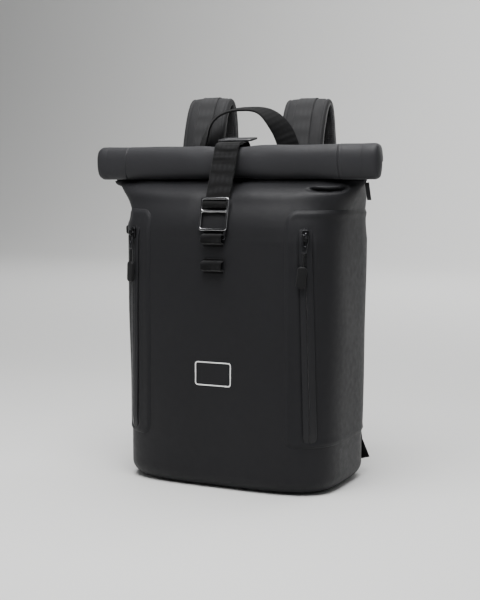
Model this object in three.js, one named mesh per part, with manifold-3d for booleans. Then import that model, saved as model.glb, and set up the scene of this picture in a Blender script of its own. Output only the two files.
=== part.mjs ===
import * as THREE from 'three';
import { mergeVertices } from 'three/addons/utils/BufferGeometryUtils.js';
import Module from 'manifold-3d';

// Rolltop backpack in millimetres, +Z up. The origin lies on the floor under the middle of the base,
// the front faces -Y, and +X is to the right as seen from the front.

const wasm = await Module();
wasm.setup();

// Bag
const bodyWidth = 300;
const frontReach = 97;
const backReach = 84;
const cloth = 2;
const baseRadius = 20;
const mouthHeight = 396;
const closingHeight = 76;
const mouthWidth = 362;
const mouthGap = 6;
const mouthOffset = 33;
const widening = 0.02;
const frontSquareness = 4;
const backSquareness = 5;
const mouthSquareness = 3;

// Roll
const rollLength = 396;
const rollDepth = 30;
const rollHeight = 45;
const rollSheet = 3.2;
const rollTurns = 2.75;
const rollGap = 0.9;
const rollOverhang = 14;
const rollRise = 1;
const rollSquareness = 2.4;
const rollEndRounding = 8;
const rollEndShrink = 0.1;
const rollPinch = 0.05;

// Small running gap between pieces that touch, the larger one under cloth that follows a curve, and how
// deep two solids of one piece run into each other
const gap = 0.3;
const skinGap = 0.6;
const weld = 1;

// Closing strap, its slider and the hook buckle
const strapWidth = 33.4;
const webbing = 1.6;
const strapAnchorDrop = 18;
const strapFlare = 7;
const glideWidth = 49;
const glideDepth = 22;
const glideThickness = 2.6;
const glideBar = 4;
const glideSetback = 19;
const buckleHeight = 43;
const buckleThickness = 5;
const buckleRail = 3;
const buckleDrop = 64;
const buckleLean = 11.8;
const buckleCorner = 4;
const sliderBarDrop = 9;
const crossBarDrop = 18;
const barSize = 2.5;
const hookDrop = 11;
const hookMouth = 1.5;

// Webbing loops on the front
const loopWidth = 29;
const loopHeight = 19;
const loopPuff = 8;
const loopFoot = 3;
const loopDrop = 83.5;
const loopSpacing = 34;

// Welded panels with the front zips
const panelInset = 54;
const panelBottom = 62;
const panelDrop = 37;
const panelCorner = 14;
const panelSheet = 1;
const panelWrap = 25;
const zipDrop = 54;
const zipBottom = 66;
const zipTopInset = 30;
const zipBottomInset = 24;
const tapeWidth = 18;
const tapeSheet = 1;

// Zip slider and its hanging pull
const sliderWidth = 9;
const sliderLength = 14;
const sliderHeight = 3;
const bridgeWidth = 2.4;
const bridgeSpan = 8;
const bridgeWire = 1.6;
const pullDrop = 13.5;
const pullPlay = 0.1;
const pullPlate = 1.8;
const pullWidth = 9;
const pullLength = 22;
const pullRail = 1.8;
const pullEye = 13;
const neckWidth = 3;
const neckLength = 16;
const gripWidth = 12;
const gripLength = 27;
const gripThickness = 5;
const gripBevel = 1;

// Back panel, shoulder straps and grab handle
const padWidth = 200;
const padBottom = 30;
const padDrop = 34;
const padThickness = 10;
const padEdge = 3;
const shoulderX = 72;
const shoulderWidth = 61;
const shoulderThickness = 12;
const shoulderRise = 106;
const shoulderEnd = 160;
const shoulderEndWidth = 42;
const shoulderDrift = 20;
const archFront = 9;
const strapBow = 32;
const bandWidth = 25;
const bandSheet = 1.2;
const lowerWidth = 20;
const adjusterWidth = 33;
const adjusterLength = 30;
const adjusterThickness = 6;
const adjusterRail = 4;
const adjusterBar = 6;
const adjusterCorner = 3;
const anchorInset = 24;
const anchorHeight = 42;
const anchorReach = 4.5;
const tabLength = 26;
const tabThickness = 3;
const handleHalfSpan = 64;
const handleRise = 94;
const handleFront = -4;
const handleForward = 8;
const handleWidth = 30;
const handleThickness = 2.4;
const handleFootTurn = 15;
const handleTopTurn = 75;

// Small tab behind the mouth's right end and small loop on the left side
const sideTabInset = 5;
const sideTabDrop = 2.5;
const sideTabLength = 22;
const sideTabWidth = 18;
const sideLoopDrop = 66;
const sideLoopLength = 12;
const sideLoopReach = 7;
const sideLoopRoot = 2;
const sideLoopWire = 1.6;
const sideLoopEnd = 2.4;
const sideLoopCorner = 3;

// Depth of the mouth and the heights above the floor. All that belongs to the top follows the mouth.
const mouthDepth = mouthGap + 2 * cloth;
const shoulderHeight = mouthHeight - closingHeight;
const strapAnchorHeight = mouthHeight - strapAnchorDrop;
const buckleBase = mouthHeight - buckleDrop;
const loopUpperBase = mouthHeight - loopDrop;
const panelTop = mouthHeight - panelDrop;
const zipTop = mouthHeight - zipDrop;
const pullHeight = zipTop - pullDrop;
const padTop = mouthHeight - padDrop;
const shoulderCrown = mouthHeight + shoulderRise;
const handleCrown = mouthHeight + handleRise;
const sideTabHeight = mouthHeight - sideTabDrop;
const sideLoopHeight = mouthHeight - sideLoopDrop;

// Places across the bag, which follow its sides and its mouth
const panelEdge = bodyWidth / 2 - panelInset;
const zipTopX = bodyWidth / 2 - zipTopInset;
const zipBottomX = bodyWidth / 2 - zipBottomInset;
const anchorX = bodyWidth / 2 - anchorInset;
const sideTabX = mouthWidth / 2 - sideTabInset;

// Step over which the slope of the bag's surface is measured
const slopeStep = cloth / 2;

// How the walls close from the shoulder to the mouth: rise is the share of the height, and the others are
// shares of the way from the body's size to the mouth's.
const closing = [
  { rise: 0, side: 0, front: 0, back: 0 },
  { rise: 0.26, side: 0.02, front: 0.025, back: 0.04 },
  { rise: 0.46, side: 0.12, front: 0.1, back: 0.12 },
  { rise: 0.63, side: 0.27, front: 0.24, back: 0.26 },
  { rise: 0.76, side: 0.46, front: 0.42, back: 0.43 },
  { rise: 0.855, side: 0.66, front: 0.66, back: 0.63 },
  { rise: 0.91, side: 0.79, front: 0.83, back: 0.79 },
  { rise: 0.95, side: 0.89, front: 0.95, back: 0.92 },
  { rise: 1, side: 1, front: 1, back: 1 },
];

// Middle line of a shoulder strap from its root to its lower end. up is a share of the height from the
// strap's end to its crown, out a share of the way from the arch's front to the furthest bow, and drift and
// taper are shares of the sideways drift and of the narrowing.
const shoulderRoute = [
  { up: 0.62, out: 0.128, drift: 0, taper: 0 },
  { up: 0.667, out: 0.043, drift: 0, taper: 0 },
  { up: 0.716, out: 0, drift: 0, taper: 0 },
  { up: 0.79, out: 0.02, drift: 0, taper: 0 },
  { up: 0.863, out: 0.064, drift: 0, taper: 0 },
  { up: 0.936, out: 0.132, drift: 0, taper: 0 },
  { up: 0.985, out: 0.208, drift: 0, taper: 0 },
  { up: 1, out: 0.276, drift: 0, taper: 0 },
  { up: 0.985, out: 0.338, drift: 0, taper: 0 },
  { up: 0.936, out: 0.386, drift: 0, taper: 0 },
  { up: 0.863, out: 0.417, drift: 0.02, taper: 0 },
  { up: 0.79, out: 0.449, drift: 0.06, taper: 0 },
  { up: 0.716, out: 0.522, drift: 0.12, taper: 0 },
  { up: 0.643, out: 0.66, drift: 0.22, taper: 0.02 },
  { up: 0.561, out: 0.85, drift: 0.36, taper: 0.06 },
  { up: 0.468, out: 0.962, drift: 0.52, taper: 0.14 },
  { up: 0.365, out: 1, drift: 0.68, taper: 0.28 },
  { up: 0.263, out: 0.99, drift: 0.8, taper: 0.48 },
  { up: 0.161, out: 0.965, drift: 0.9, taper: 0.7 },
  { up: 0.073, out: 0.93, drift: 0.96, taper: 0.88 },
  { up: 0, out: 0.9, drift: 1, taper: 1 },
];

// How the handle's webbing turns from its feet to its crown and passes in front of the straps
const handleRoute = [
  { rise: 0, turn: 0, forward: 0 },
  { rise: 0.64, turn: 0.38, forward: 0.6 },
  { rise: 0.82, turn: 0.63, forward: 1 },
  { rise: 0.93, turn: 0.85, forward: 0.7 },
  { rise: 1, turn: 1, forward: 0 },
];

const aroundCount = 48;
const rad = THREE.MathUtils.degToRad;
const mix = THREE.MathUtils.lerp;
const limit = THREE.MathUtils.clamp;

function vec(x, y, z) {
  return new THREE.Vector3(x, y, z);
}

// Smooth curve through the rows of a table
function follow(rows, key, column, at) {
  const place = limit(at, rows[0][key], rows[rows.length - 1][key]);
  const slope = (i) => {
    const low = rows[Math.max(i - 1, 0)];
    const high = rows[Math.min(i + 1, rows.length - 1)];
    return (high[column] - low[column]) / (high[key] - low[key]);
  };
  let i = 0;
  while (i < rows.length - 2 && place > rows[i + 1][key]) {
    i += 1;
  }
  const span = rows[i + 1][key] - rows[i][key];
  const s = (place - rows[i][key]) / span;
  const rest = 1 - s;
  return rows[i][column] * rest * rest * (1 + 2 * s) + rows[i + 1][column] * s * s * (3 - 2 * s)
    + span * s * rest * (slope(i) * rest - slope(i + 1) * s);
}

// Sizes of the level section of the bag at height z
function section(z) {
  const rise = limit((z - shoulderHeight) / closingHeight, 0, 1);
  const plain = bodyWidth / 2 * (1 + widening * (Math.min(z, shoulderHeight) / shoulderHeight - 0.5));
  const front = follow(closing, 'rise', 'front', rise);
  const back = follow(closing, 'rise', 'back', rise);
  return {
    side: mix(plain, mouthWidth / 2, follow(closing, 'rise', 'side', rise)),
    front: mix(-frontReach, -mouthOffset - mouthDepth / 2, front),
    back: mix(backReach, -mouthOffset + mouthDepth / 2, back),
    middle: mix(0, -mouthOffset, front),
    frontPower: mix(frontSquareness, mouthSquareness, rise),
    backPower: mix(backSquareness, mouthSquareness, rise),
  };
}

// Point of a level section at angle t, with its sides, front and back moved in
function sectionPoint(t, z, inset) {
  const s = section(z);
  const c = Math.cos(t);
  const n = Math.sin(t);
  const power = n < 0 ? s.frontPower : s.backPower;
  const reach = n < 0 ? s.middle - s.front - inset.front : s.back - s.middle - inset.back;
  const x = (s.side - inset.side) * Math.sign(c) * Math.abs(c) ** (2 / power);
  const y = s.middle + reach * Math.sign(n) * Math.abs(n) ** (2 / power);
  return vec(x, y, z);
}

const noInset = { side: 0, front: 0, back: 0 };

// Point on the bag's outer surface, lifted off it
function skin(t, z, lift) {
  const step = 0.01;
  const point = sectionPoint(t, z, noInset);
  const around = sectionPoint(t + step, z, noInset).sub(sectionPoint(t - step, z, noInset));
  const along = sectionPoint(t, z + slopeStep, noInset).sub(sectionPoint(t, z - slopeStep, noInset));
  const normal = around.cross(along).normalize();
  return point.addScaledVector(normal, lift);
}

// Angle at which the front, or the back, of the bag has this x
function frontAngle(x, z) {
  const s = section(z);
  const c = Math.sign(x) * Math.min(Math.abs(x) / s.side, 1) ** (s.frontPower / 2);
  return -Math.acos(c);
}

function backAngle(x, z) {
  const s = section(z);
  const c = Math.sign(x) * Math.min(Math.abs(x) / s.side, 1) ** (s.backPower / 2);
  return Math.acos(c);
}

// Geometry from points and triangles, with its faces turned outwards
function solid(points, faces) {
  let volume = 0;
  for (const [a, b, c] of faces) {
    volume += points[a].dot(points[b].clone().cross(points[c]));
  }
  const index = faces.flatMap(([a, b, c]) => (volume < 0 ? [a, c, b] : [a, b, c]));
  const geometry = new THREE.BufferGeometry();
  geometry.setAttribute('position', new THREE.Float32BufferAttribute(points.flatMap((p) => p.toArray()), 3));
  geometry.setIndex(index);
  return geometry;
}

// Closed body through rings of equal count. A flat outline triangulates the two ends.
function loft(rings, flat) {
  const count = rings[0].length;
  const points = rings.flat();
  const faces = [];
  for (let r = 0; r < rings.length - 1; r += 1) {
    for (let i = 0; i < count; i += 1) {
      const a = r * count + i;
      const b = r * count + (i + 1) % count;
      faces.push([a, b, b + count], [a, b + count, a + count]);
    }
  }
  const cap = THREE.ShapeUtils.triangulateShape(flat, []);
  const last = (rings.length - 1) * count;
  const turned = THREE.ShapeUtils.area(flat) < 0;
  for (const [a, b, c] of cap) {
    const lid = turned ? [a, b, c] : [a, c, b];
    faces.push(lid, [last + lid[0], last + lid[2], last + lid[1]]);
  }
  return solid(points, faces);
}

// Closed sheet between an outer and an inner grid of points
function sheet(outer, inner) {
  const rows = outer.length;
  const columns = outer[0].length;
  const size = rows * columns;
  const at = (layer, r, c) => layer * size + r * columns + c;
  const faces = [];
  const quad = (a, b, c, d) => faces.push([a, b, c], [a, c, d]);
  for (let r = 0; r < rows - 1; r += 1) {
    for (let c = 0; c < columns - 1; c += 1) {
      quad(at(0, r, c), at(0, r, c + 1), at(0, r + 1, c + 1), at(0, r + 1, c));
      quad(at(1, r, c), at(1, r + 1, c), at(1, r + 1, c + 1), at(1, r, c + 1));
    }
  }
  for (let c = 0; c < columns - 1; c += 1) {
    quad(at(0, 0, c + 1), at(0, 0, c), at(1, 0, c), at(1, 0, c + 1));
    quad(at(0, rows - 1, c), at(0, rows - 1, c + 1), at(1, rows - 1, c + 1), at(1, rows - 1, c));
  }
  for (let r = 0; r < rows - 1; r += 1) {
    quad(at(0, r, 0), at(0, r + 1, 0), at(1, r + 1, 0), at(1, r, 0));
    quad(at(0, r + 1, columns - 1), at(0, r, columns - 1), at(1, r, columns - 1), at(1, r + 1, columns - 1));
  }
  return solid([...outer.flat(), ...inner.flat()], faces);
}

function toManifold(geometry) {
  const bare = geometry.clone();
  bare.deleteAttribute('normal');
  bare.deleteAttribute('uv');
  const merged = mergeVertices(bare, 1e-4);
  const mesh = new wasm.Mesh({
    numProp: 3,
    vertProperties: new Float32Array(merged.attributes.position.array),
    triVerts: new Uint32Array(merged.index.array),
  });
  return new wasm.Manifold(mesh);
}

function fromManifold(body) {
  const mesh = body.getMesh();
  const geometry = new THREE.BufferGeometry();
  geometry.setAttribute('position', new THREE.BufferAttribute(new Float32Array(mesh.vertProperties), 3));
  geometry.setIndex(new THREE.BufferAttribute(new Uint32Array(mesh.triVerts), 1));
  return geometry;
}

function joined(first, second) {
  return fromManifold(toManifold(first).add(toManifold(second)));
}

function cut(first, second) {
  return fromManifold(toManifold(first).subtract(toManifold(second)));
}

// Rings of the bag: height, and how far each side is moved in
const baseArc = [0, 30, 60, 90];
const wallShares = [0.32, 0.66];
const closingShares = [0, 0.13, 0.26, 0.37, 0.47, 0.56, 0.65, 0.73, 0.805, 0.865, 0.915, 0.955, 1];

function wallHeights() {
  const plain = wallShares.map((share) => mix(baseRadius, shoulderHeight, share));
  return [...plain, ...closingShares.map((share) => shoulderHeight + closingHeight * share)];
}

function ringOf(z, inset) {
  const ring = [];
  for (let i = 0; i < aroundCount; i += 1) {
    ring.push(sectionPoint((i / aroundCount) * 2 * Math.PI, z, inset));
  }
  return ring;
}

function baseRings(depth) {
  return baseArc.map((angle) => {
    const tuck = baseRadius - (baseRadius - depth) * Math.sin(rad(angle));
    const z = baseRadius - (baseRadius - depth) * Math.cos(rad(angle));
    return ringOf(z, { side: tuck, front: tuck, back: tuck });
  });
}

// Level offset that keeps the wall its real thickness where it leans
function leaningInset(z) {
  if (z > mouthHeight - slopeStep) {
    return { side: cloth, front: cloth, back: cloth };
  }
  const low = section(z - slopeStep);
  const high = section(z + slopeStep);
  const lean = (key) => cloth * Math.hypot(1, (high[key] - low[key]) / (2 * slopeStep));
  return { side: lean('side'), front: lean('front'), back: lean('back') };
}

function bagWall(rings, floorPoint, lidPoint) {
  const points = [...rings.flat(), floorPoint, lidPoint];
  const faces = [];
  const last = rings.length - 1;
  for (let i = 0; i < aroundCount; i += 1) {
    const next = (i + 1) % aroundCount;
    faces.push([next, i, points.length - 2]);
    faces.push([last * aroundCount + i, last * aroundCount + next, points.length - 1]);
    for (let r = 0; r < last; r += 1) {
      const a = r * aroundCount + i;
      const b = r * aroundCount + next;
      faces.push([a, b, b + aroundCount], [a, b + aroundCount, a + aroundCount]);
    }
  }
  return solid(points, faces);
}

// The hollow bag: outer wall up from the base, over the open mouth and down inside
function bodyShell() {
  const heights = wallHeights();
  const outer = [...baseRings(0), ...heights.map((z) => ringOf(z, noInset))];
  const inner = [...baseRings(cloth), ...heights.map((z) => ringOf(z, leaningInset(z)))];
  return bagWall([...outer, ...inner.reverse()], vec(0, 0, 0), vec(0, 0, cloth));
}

// Solid a little larger than the bag, which trims the pieces that sit on it
function bagCore() {
  const heights = wallHeights();
  const grown = { side: -gap, front: -gap, back: -gap };
  const tucks = [...baseRings(-gap), ...heights.map((z) => ringOf(z, grown))];
  const lid = vec(0, -mouthOffset, mouthHeight + gap);
  const top = ringOf(mouthHeight, grown).map((p) => p.setZ(mouthHeight + gap));
  return bagWall([...tucks, top], vec(0, 0, -gap), lid);
}

const rollCentreY = -mouthOffset - rollOverhang;
const rollCentreZ = mouthHeight + rollRise + rollHeight / 2;

// Point of the roll's oval at an angle from the back over the top, as [y, z], moved in or out
function rollOval(angle, lift) {
  const c = Math.cos(angle);
  const s = Math.sin(angle);
  const y = (rollDepth / 2 + lift) * Math.sign(c) * Math.abs(c) ** (2 / rollSquareness);
  const z = (rollHeight / 2 + lift) * Math.sign(s) * Math.abs(s) ** (2 / rollSquareness);
  return [rollCentreY + y, rollCentreZ + z];
}

// Outline of the wound sheet: its foot stands on the mouth, rises behind the roll and winds forward
function rollOutline(scale) {
  const steps = Math.round(rollTurns * 18);
  const pitch = rollSheet + rollGap;
  const outer = [];
  const inner = [];
  for (let i = 0; i <= steps; i += 1) {
    const angle = (i / steps) * rollTurns * 2 * Math.PI;
    const lost = pitch * angle / (2 * Math.PI);
    const a = rollOval(angle, -lost);
    const b = rollOval(angle, -lost - rollSheet);
    outer.push([mix(rollCentreY, a[0], scale), mix(rollCentreZ, a[1], scale)]);
    inner.push([mix(rollCentreY, b[0], scale), mix(rollCentreZ, b[1], scale)]);
  }
  const footZ = mouthHeight + gap;
  const back = [-mouthOffset + mouthDepth / 2, footZ];
  const front = [-mouthOffset - mouthDepth / 2, footZ];
  return [back, ...outer, ...inner.reverse(), front];
}

function rolledTop() {
  const half = rollLength / 2;
  const near = strapWidth / 2;
  const stations = [
    { x: half, scale: 1 - rollEndShrink },
    { x: half - rollEndRounding * 0.4, scale: 1 - rollEndShrink * 0.25 },
    { x: half - rollEndRounding, scale: 1 },
    { x: near * 2.2, scale: 1 },
    { x: near, scale: 1 - rollPinch },
  ];
  const all = [...stations, ...[...stations].reverse().map((row) => ({ x: -row.x, scale: row.scale }))];
  const rings = all.map((row) => rollOutline(row.scale).map(([y, z]) => vec(row.x, y, z)));
  const flat = rollOutline(all[0].scale).map(([y, z]) => new THREE.Vector2(y, z));
  return loft(rings, flat);
}

// Webbing seen edge on: a path of [y, z] points given a thickness, then run across x
function ribbon(path, thickness, width) {
  const left = [];
  const right = [];
  path.forEach(([y, z], i) => {
    const before = path[Math.max(i - 1, 0)];
    const after = path[Math.min(i + 1, path.length - 1)];
    const run = new THREE.Vector2(after[0] - before[0], after[1] - before[1]).normalize();
    left.push(new THREE.Vector2(y - run.y * thickness / 2, z + run.x * thickness / 2));
    right.push(new THREE.Vector2(y + run.y * thickness / 2, z - run.x * thickness / 2));
  });
  const flat = [...left, ...right.reverse()];
  const rings = [-width / 2, width / 2].map((x) => flat.map((p) => vec(x, p.x, p.y)));
  return loft(rings, flat);
}

// Smooth path through chosen [y, z] points
function smooth(points, count) {
  const curve = new THREE.SplineCurve(points.map(([y, z]) => new THREE.Vector2(y, z)));
  return curve.getPoints(count).map((p) => [p.x, p.y]);
}

// The buckle leans back with the bag's front. Its frame turns about the back edge of its lower rail.
const buckleWidth = strapWidth + 2 * gap + 2 * buckleRail;
const buckleBackY = skin(frontAngle(0, buckleBase), buckleBase, skinGap).y - gap;
const leanTan = Math.tan(rad(buckleLean));

// Point in the buckle's own plane as [y, z]: up its height and out from its back face
function bucklePoint(up, out) {
  const c = Math.cos(rad(buckleLean));
  const s = Math.sin(rad(buckleLean));
  return [buckleBackY + up * s - out * c, buckleBase + up * c + out * s];
}

function closingStrapPath() {
  const wrap = barSize * 0.75 + gap + webbing / 2;
  const [barY, barZ] = bucklePoint(buckleHeight - sliderBarDrop, buckleThickness / 2);
  const outerLift = gap * 2 + webbing * 1.5;
  const innerLift = gap + webbing / 2;
  const rail = buckleHeight - buckleRail / 2;
  const outer = [];
  for (const share of [0, 0.07]) {
    const z = strapAnchorHeight + closingHeight * share;
    const p = skin(backAngle(0, z), z, skinGap * (1 + 14 * share) + webbing / 2);
    outer.push([p.y, p.z]);
  }
  const glideY = rollCentreY + glideSetback;
  const glideZ = rollCentreZ + rollHeight / 2 + outerLift;
  for (const share of [0.3, 0.65]) {
    outer.push([mix(outer[1][0], glideY, share), mix(outer[1][1], glideZ, share)]);
  }
  outer.push([glideY, glideZ], [mix(glideY, rollCentreY, 0.5), glideZ]);
  for (const angle of [85, 110, 135, 155]) {
    outer.push(rollOval(rad(angle), outerLift));
  }
  const behind = -webbing / 2 - gap * 2;
  const doubled = behind - webbing - gap * 2;
  outer.push(bucklePoint(rail + strapFlare, behind * 2), bucklePoint(rail, behind));
  outer.push(bucklePoint(rail - buckleRail * 0.6, behind));
  const inner = [bucklePoint(rail - buckleRail, doubled * 0.8), bucklePoint(rail + strapFlare, doubled - webbing)];
  for (const angle of [155, 135, 110, 85]) {
    inner.push(rollOval(rad(angle), innerLift));
  }
  const round = [];
  for (let angle = 85; angle <= 360; angle += 25) {
    round.push([barY + wrap * Math.cos(rad(angle)), barZ + wrap * Math.sin(rad(angle))]);
  }
  return [...smooth(outer, 30), ...round, ...smooth(inner, 16)];
}

function roundedRectangle(width, height, radius) {
  const w = width / 2;
  const h = height / 2;
  const shape = new THREE.Shape();
  shape.moveTo(-w + radius, -h);
  shape.lineTo(w - radius, -h);
  shape.absarc(w - radius, -h + radius, radius, -Math.PI / 2, 0, false);
  shape.lineTo(w, h - radius);
  shape.absarc(w - radius, h - radius, radius, 0, Math.PI / 2, false);
  shape.lineTo(-w + radius, h);
  shape.absarc(-w + radius, h - radius, radius, Math.PI / 2, Math.PI, false);
  shape.lineTo(-w, -h + radius);
  shape.absarc(-w + radius, -h + radius, radius, Math.PI, Math.PI * 1.5, false);
  return shape;
}

function hole(low, high) {
  const path = new THREE.Path();
  path.moveTo(low[0], low[1]);
  path.lineTo(low[0], high[1]);
  path.lineTo(high[0], high[1]);
  path.lineTo(high[0], low[1]);
  path.closePath();
  return path;
}

function plate(shape, thickness) {
  const geometry = new THREE.ExtrudeGeometry(shape, { depth: thickness, bevelEnabled: false, curveSegments: 4 });
  return geometry.translate(0, 0, -thickness / 2);
}

// Flat tri-glide: a frame with a middle bar, lying on the strap over the roll
function strapSlider() {
  const shape = roundedRectangle(glideWidth, glideDepth, glideBar * 0.8);
  const inside = strapWidth / 2 + gap;
  const reach = glideDepth / 2 - glideBar;
  shape.holes.push(hole([-inside, -reach], [inside, -glideBar / 2]));
  shape.holes.push(hole([-inside, glideBar / 2], [inside, reach]));
  return plate(shape, glideThickness);
}

// Hook buckle in its own plane, x across and y up, with the middle of its thickness at z = 0
function hookBuckle() {
  const shape = roundedRectangle(buckleWidth, buckleHeight, buckleCorner);
  const inside = strapWidth / 2 + gap;
  const top = buckleHeight / 2 - buckleRail;
  const bar = buckleHeight / 2 - sliderBarDrop;
  const cross = buckleHeight / 2 - crossBarDrop;
  shape.holes.push(hole([-inside, -buckleHeight / 2 + buckleRail], [inside, cross - buckleRail / 2]));
  shape.holes.push(hole([-inside, cross + buckleRail / 2], [inside, top]));
  let frame = plate(shape, buckleThickness);
  const barGeometry = new THREE.BoxGeometry(inside * 2 + weld, barSize, barSize).translate(0, bar, 0);
  frame = joined(frame, barGeometry);
  const hook = new THREE.Shape();
  const inner = loopWidth / 2 + 2 * gap;
  const right = inner + buckleRail;
  const low = -buckleHeight / 2;
  hook.moveTo(inner, low + weld);
  hook.lineTo(inner, low - hookDrop + barSize);
  hook.lineTo(-loopWidth / 2, low - hookDrop + barSize);
  hook.lineTo(-loopWidth / 2, low - hookDrop);
  hook.lineTo(right - buckleRail * 0.3, low - hookDrop);
  hook.lineTo(right, low - hookDrop + buckleRail * 0.7);
  hook.lineTo(right, low + weld);
  hook.closePath();
  const hookPlate = plate(hook, barSize).translate(0, 0, -buckleThickness / 2 + barSize / 2);
  const mouth = new THREE.BoxGeometry(buckleRail * 2, hookMouth, buckleThickness * 2);
  mouth.translate(buckleWidth / 2, cross - buckleHeight * 0.22, 0);
  return cut(joined(frame, hookPlate), mouth);
}

// Loop of webbing that stands off the front between two flat feet
function webbingLoop(base) {
  const at = (share, lift) => {
    const z = base + loopHeight * share;
    const p = skin(frontAngle(0, z), z, lift + webbing / 2 + gap);
    return [p.y, p.z];
  };
  const foot = loopFoot / loopHeight;
  const path = [at(0, 0), at(foot, 0.2), at(foot + 0.08, loopPuff * 0.45), at(0.32, loopPuff * 0.92),
    at(0.52, loopPuff), at(0.72, loopPuff * 0.92), at(1 - foot - 0.06, loopPuff * 0.5), at(1 - foot, 0.2),
    at(1, 0)];
  return ribbon(smooth(path, 20), webbing, loopWidth);
}

function zipX(z) {
  return mix(zipBottomX, zipTopX, (z - zipBottom) / (zipTop - zipBottom));
}

// Drop of a rounded corner at distance s from the edge
function cornerDrop(s, radius) {
  return s < radius ? radius - Math.sqrt(radius ** 2 - (radius - s) ** 2) : 0;
}

// Welded panel from its front edge round the side, on the right or the left
function pocketPanel(hand) {
  const steps = [0, 0.12, 0.4, 1];
  const wrapSteps = 11;
  const rowShares = [0, 0.3, 0.6, 0.8, 0.86, 0.91, 0.955, 1];
  const columns = [];
  for (const share of steps) {
    columns.push({ s: share * panelCorner, angle: (z) => frontAngle(panelEdge + share * panelCorner, z) });
  }
  const lastAngle = (z) => frontAngle(panelEdge + panelCorner, z);
  for (let i = 1; i <= wrapSteps; i += 1) {
    const share = i / wrapSteps;
    columns.push({ s: panelCorner, angle: (z) => mix(lastAngle(z), rad(panelWrap), share) });
  }
  const grid = (lift) => rowShares.map((share) => columns.map((column) => {
    const drop = cornerDrop(column.s, panelCorner);
    const z = mix(panelBottom + drop, panelTop - drop, share);
    const p = skin(column.angle(z), z, lift);
    return vec(hand * p.x, p.y, p.z);
  }));
  return sheet(grid(skinGap + panelSheet), grid(skinGap));
}

const tapeLift = skinGap + panelSheet + skinGap;

// Zip tape down the panel, with narrowed ends
function zipTape(hand) {
  const rows = [0, 0.02, 0.3, 0.55, 0.8, 0.88, 0.94, 0.98, 1];
  const across = [-0.5, 0, 0.5];
  const grid = (lift) => rows.map((share) => across.map((side) => {
    const z = mix(zipBottom, zipTop, share);
    const narrow = share === 0 || share === 1 ? 0.6 : 1;
    const p = skin(frontAngle(zipX(z) + side * tapeWidth * 0.85 * narrow, z), z, lift);
    return vec(hand * p.x, p.y, p.z);
  }));
  return sheet(grid(tapeLift + tapeSheet), grid(tapeLift));
}

// Upright frame on the zip: side across it, up, and out from the bag
function zipFrame(hand) {
  const angle = frontAngle(zipX(pullHeight), pullHeight);
  const foot = skin(angle, pullHeight, tapeLift + tapeSheet + skinGap);
  const bare = skin(angle, pullHeight, 0);
  const out = vec(hand * (foot.x - bare.x), foot.y - bare.y, 0).normalize();
  const up = vec(0, 0, 1);
  const side = up.clone().cross(out);
  const holder = new THREE.Group();
  holder.position.set(hand * foot.x, foot.y, pullHeight);
  holder.quaternion.setFromRotationMatrix(new THREE.Matrix4().makeBasis(side, up, out));
  return holder;
}

const axisLift = sliderHeight + bridgeWire + pullPlay;

// Slider body with the bridge that holds the pull's top bar
function zipSlider() {
  const base = plate(roundedRectangle(sliderWidth, sliderLength, sliderWidth * 0.3), sliderHeight);
  base.translate(0, 0, sliderHeight / 2);
  const half = bridgeSpan / 2;
  const crown = axisLift + pullPlate + bridgeWire;
  const arch = new THREE.Shape();
  arch.moveTo(-half, sliderHeight - weld);
  arch.lineTo(half, sliderHeight - weld);
  arch.lineTo(half, crown - bridgeWire);
  arch.lineTo(half - bridgeWire, crown);
  arch.lineTo(-half + bridgeWire, crown);
  arch.lineTo(-half, crown - bridgeWire);
  arch.closePath();
  arch.holes.push(hole([-half + bridgeWire, sliderHeight], [half - bridgeWire, crown - bridgeWire]));
  const bridge = plate(arch, bridgeWidth).rotateX(Math.PI / 2).rotateZ(Math.PI / 2);
  return joined(base, bridge);
}

// Metal pull hanging from its top bar, in the zip's frame
function zipPull() {
  const shape = new THREE.Shape();
  const w = pullWidth / 2;
  shape.moveTo(-w, pullPlate / 2);
  shape.lineTo(-w, -pullEye * 0.55);
  shape.lineTo(-neckWidth, -pullLength);
  shape.lineTo(neckWidth, -pullLength);
  shape.lineTo(w, -pullEye * 0.55);
  shape.lineTo(w, pullPlate / 2);
  shape.closePath();
  const eye = new THREE.Path();
  const inside = w - pullRail;
  eye.moveTo(-inside, -pullPlate / 2);
  eye.lineTo(-inside, -pullEye * 0.6);
  eye.lineTo(-inside * 0.5, -pullEye);
  eye.lineTo(inside * 0.5, -pullEye);
  eye.lineTo(inside, -pullEye * 0.6);
  eye.lineTo(inside, -pullPlate / 2);
  eye.closePath();
  shape.holes.push(eye);
  return plate(shape, pullPlate).translate(0, 0, axisLift);
}

// Moulded neck and grip below the metal pull, as one piece
function pullGrip() {
  const neck = new THREE.BoxGeometry(neckWidth, neckLength + 2 * weld, neckWidth);
  neck.translate(0, -pullLength - gap - neckLength / 2 - weld, axisLift);
  const options = { depth: gripThickness - 2 * gripBevel, bevelEnabled: true, bevelThickness: gripBevel,
    bevelSize: gripBevel, bevelSegments: 1, curveSegments: 3 };
  const outline = roundedRectangle(gripWidth - 2 * gripBevel, gripLength - 2 * gripBevel, gripWidth * 0.3);
  const grip = new THREE.ExtrudeGeometry(outline, options).translate(0, 0, gripBevel - gripThickness / 2);
  grip.translate(0, -pullLength - gap - neckLength - gripLength / 2, axisLift);
  return joined(neck, grip);
}

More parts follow.
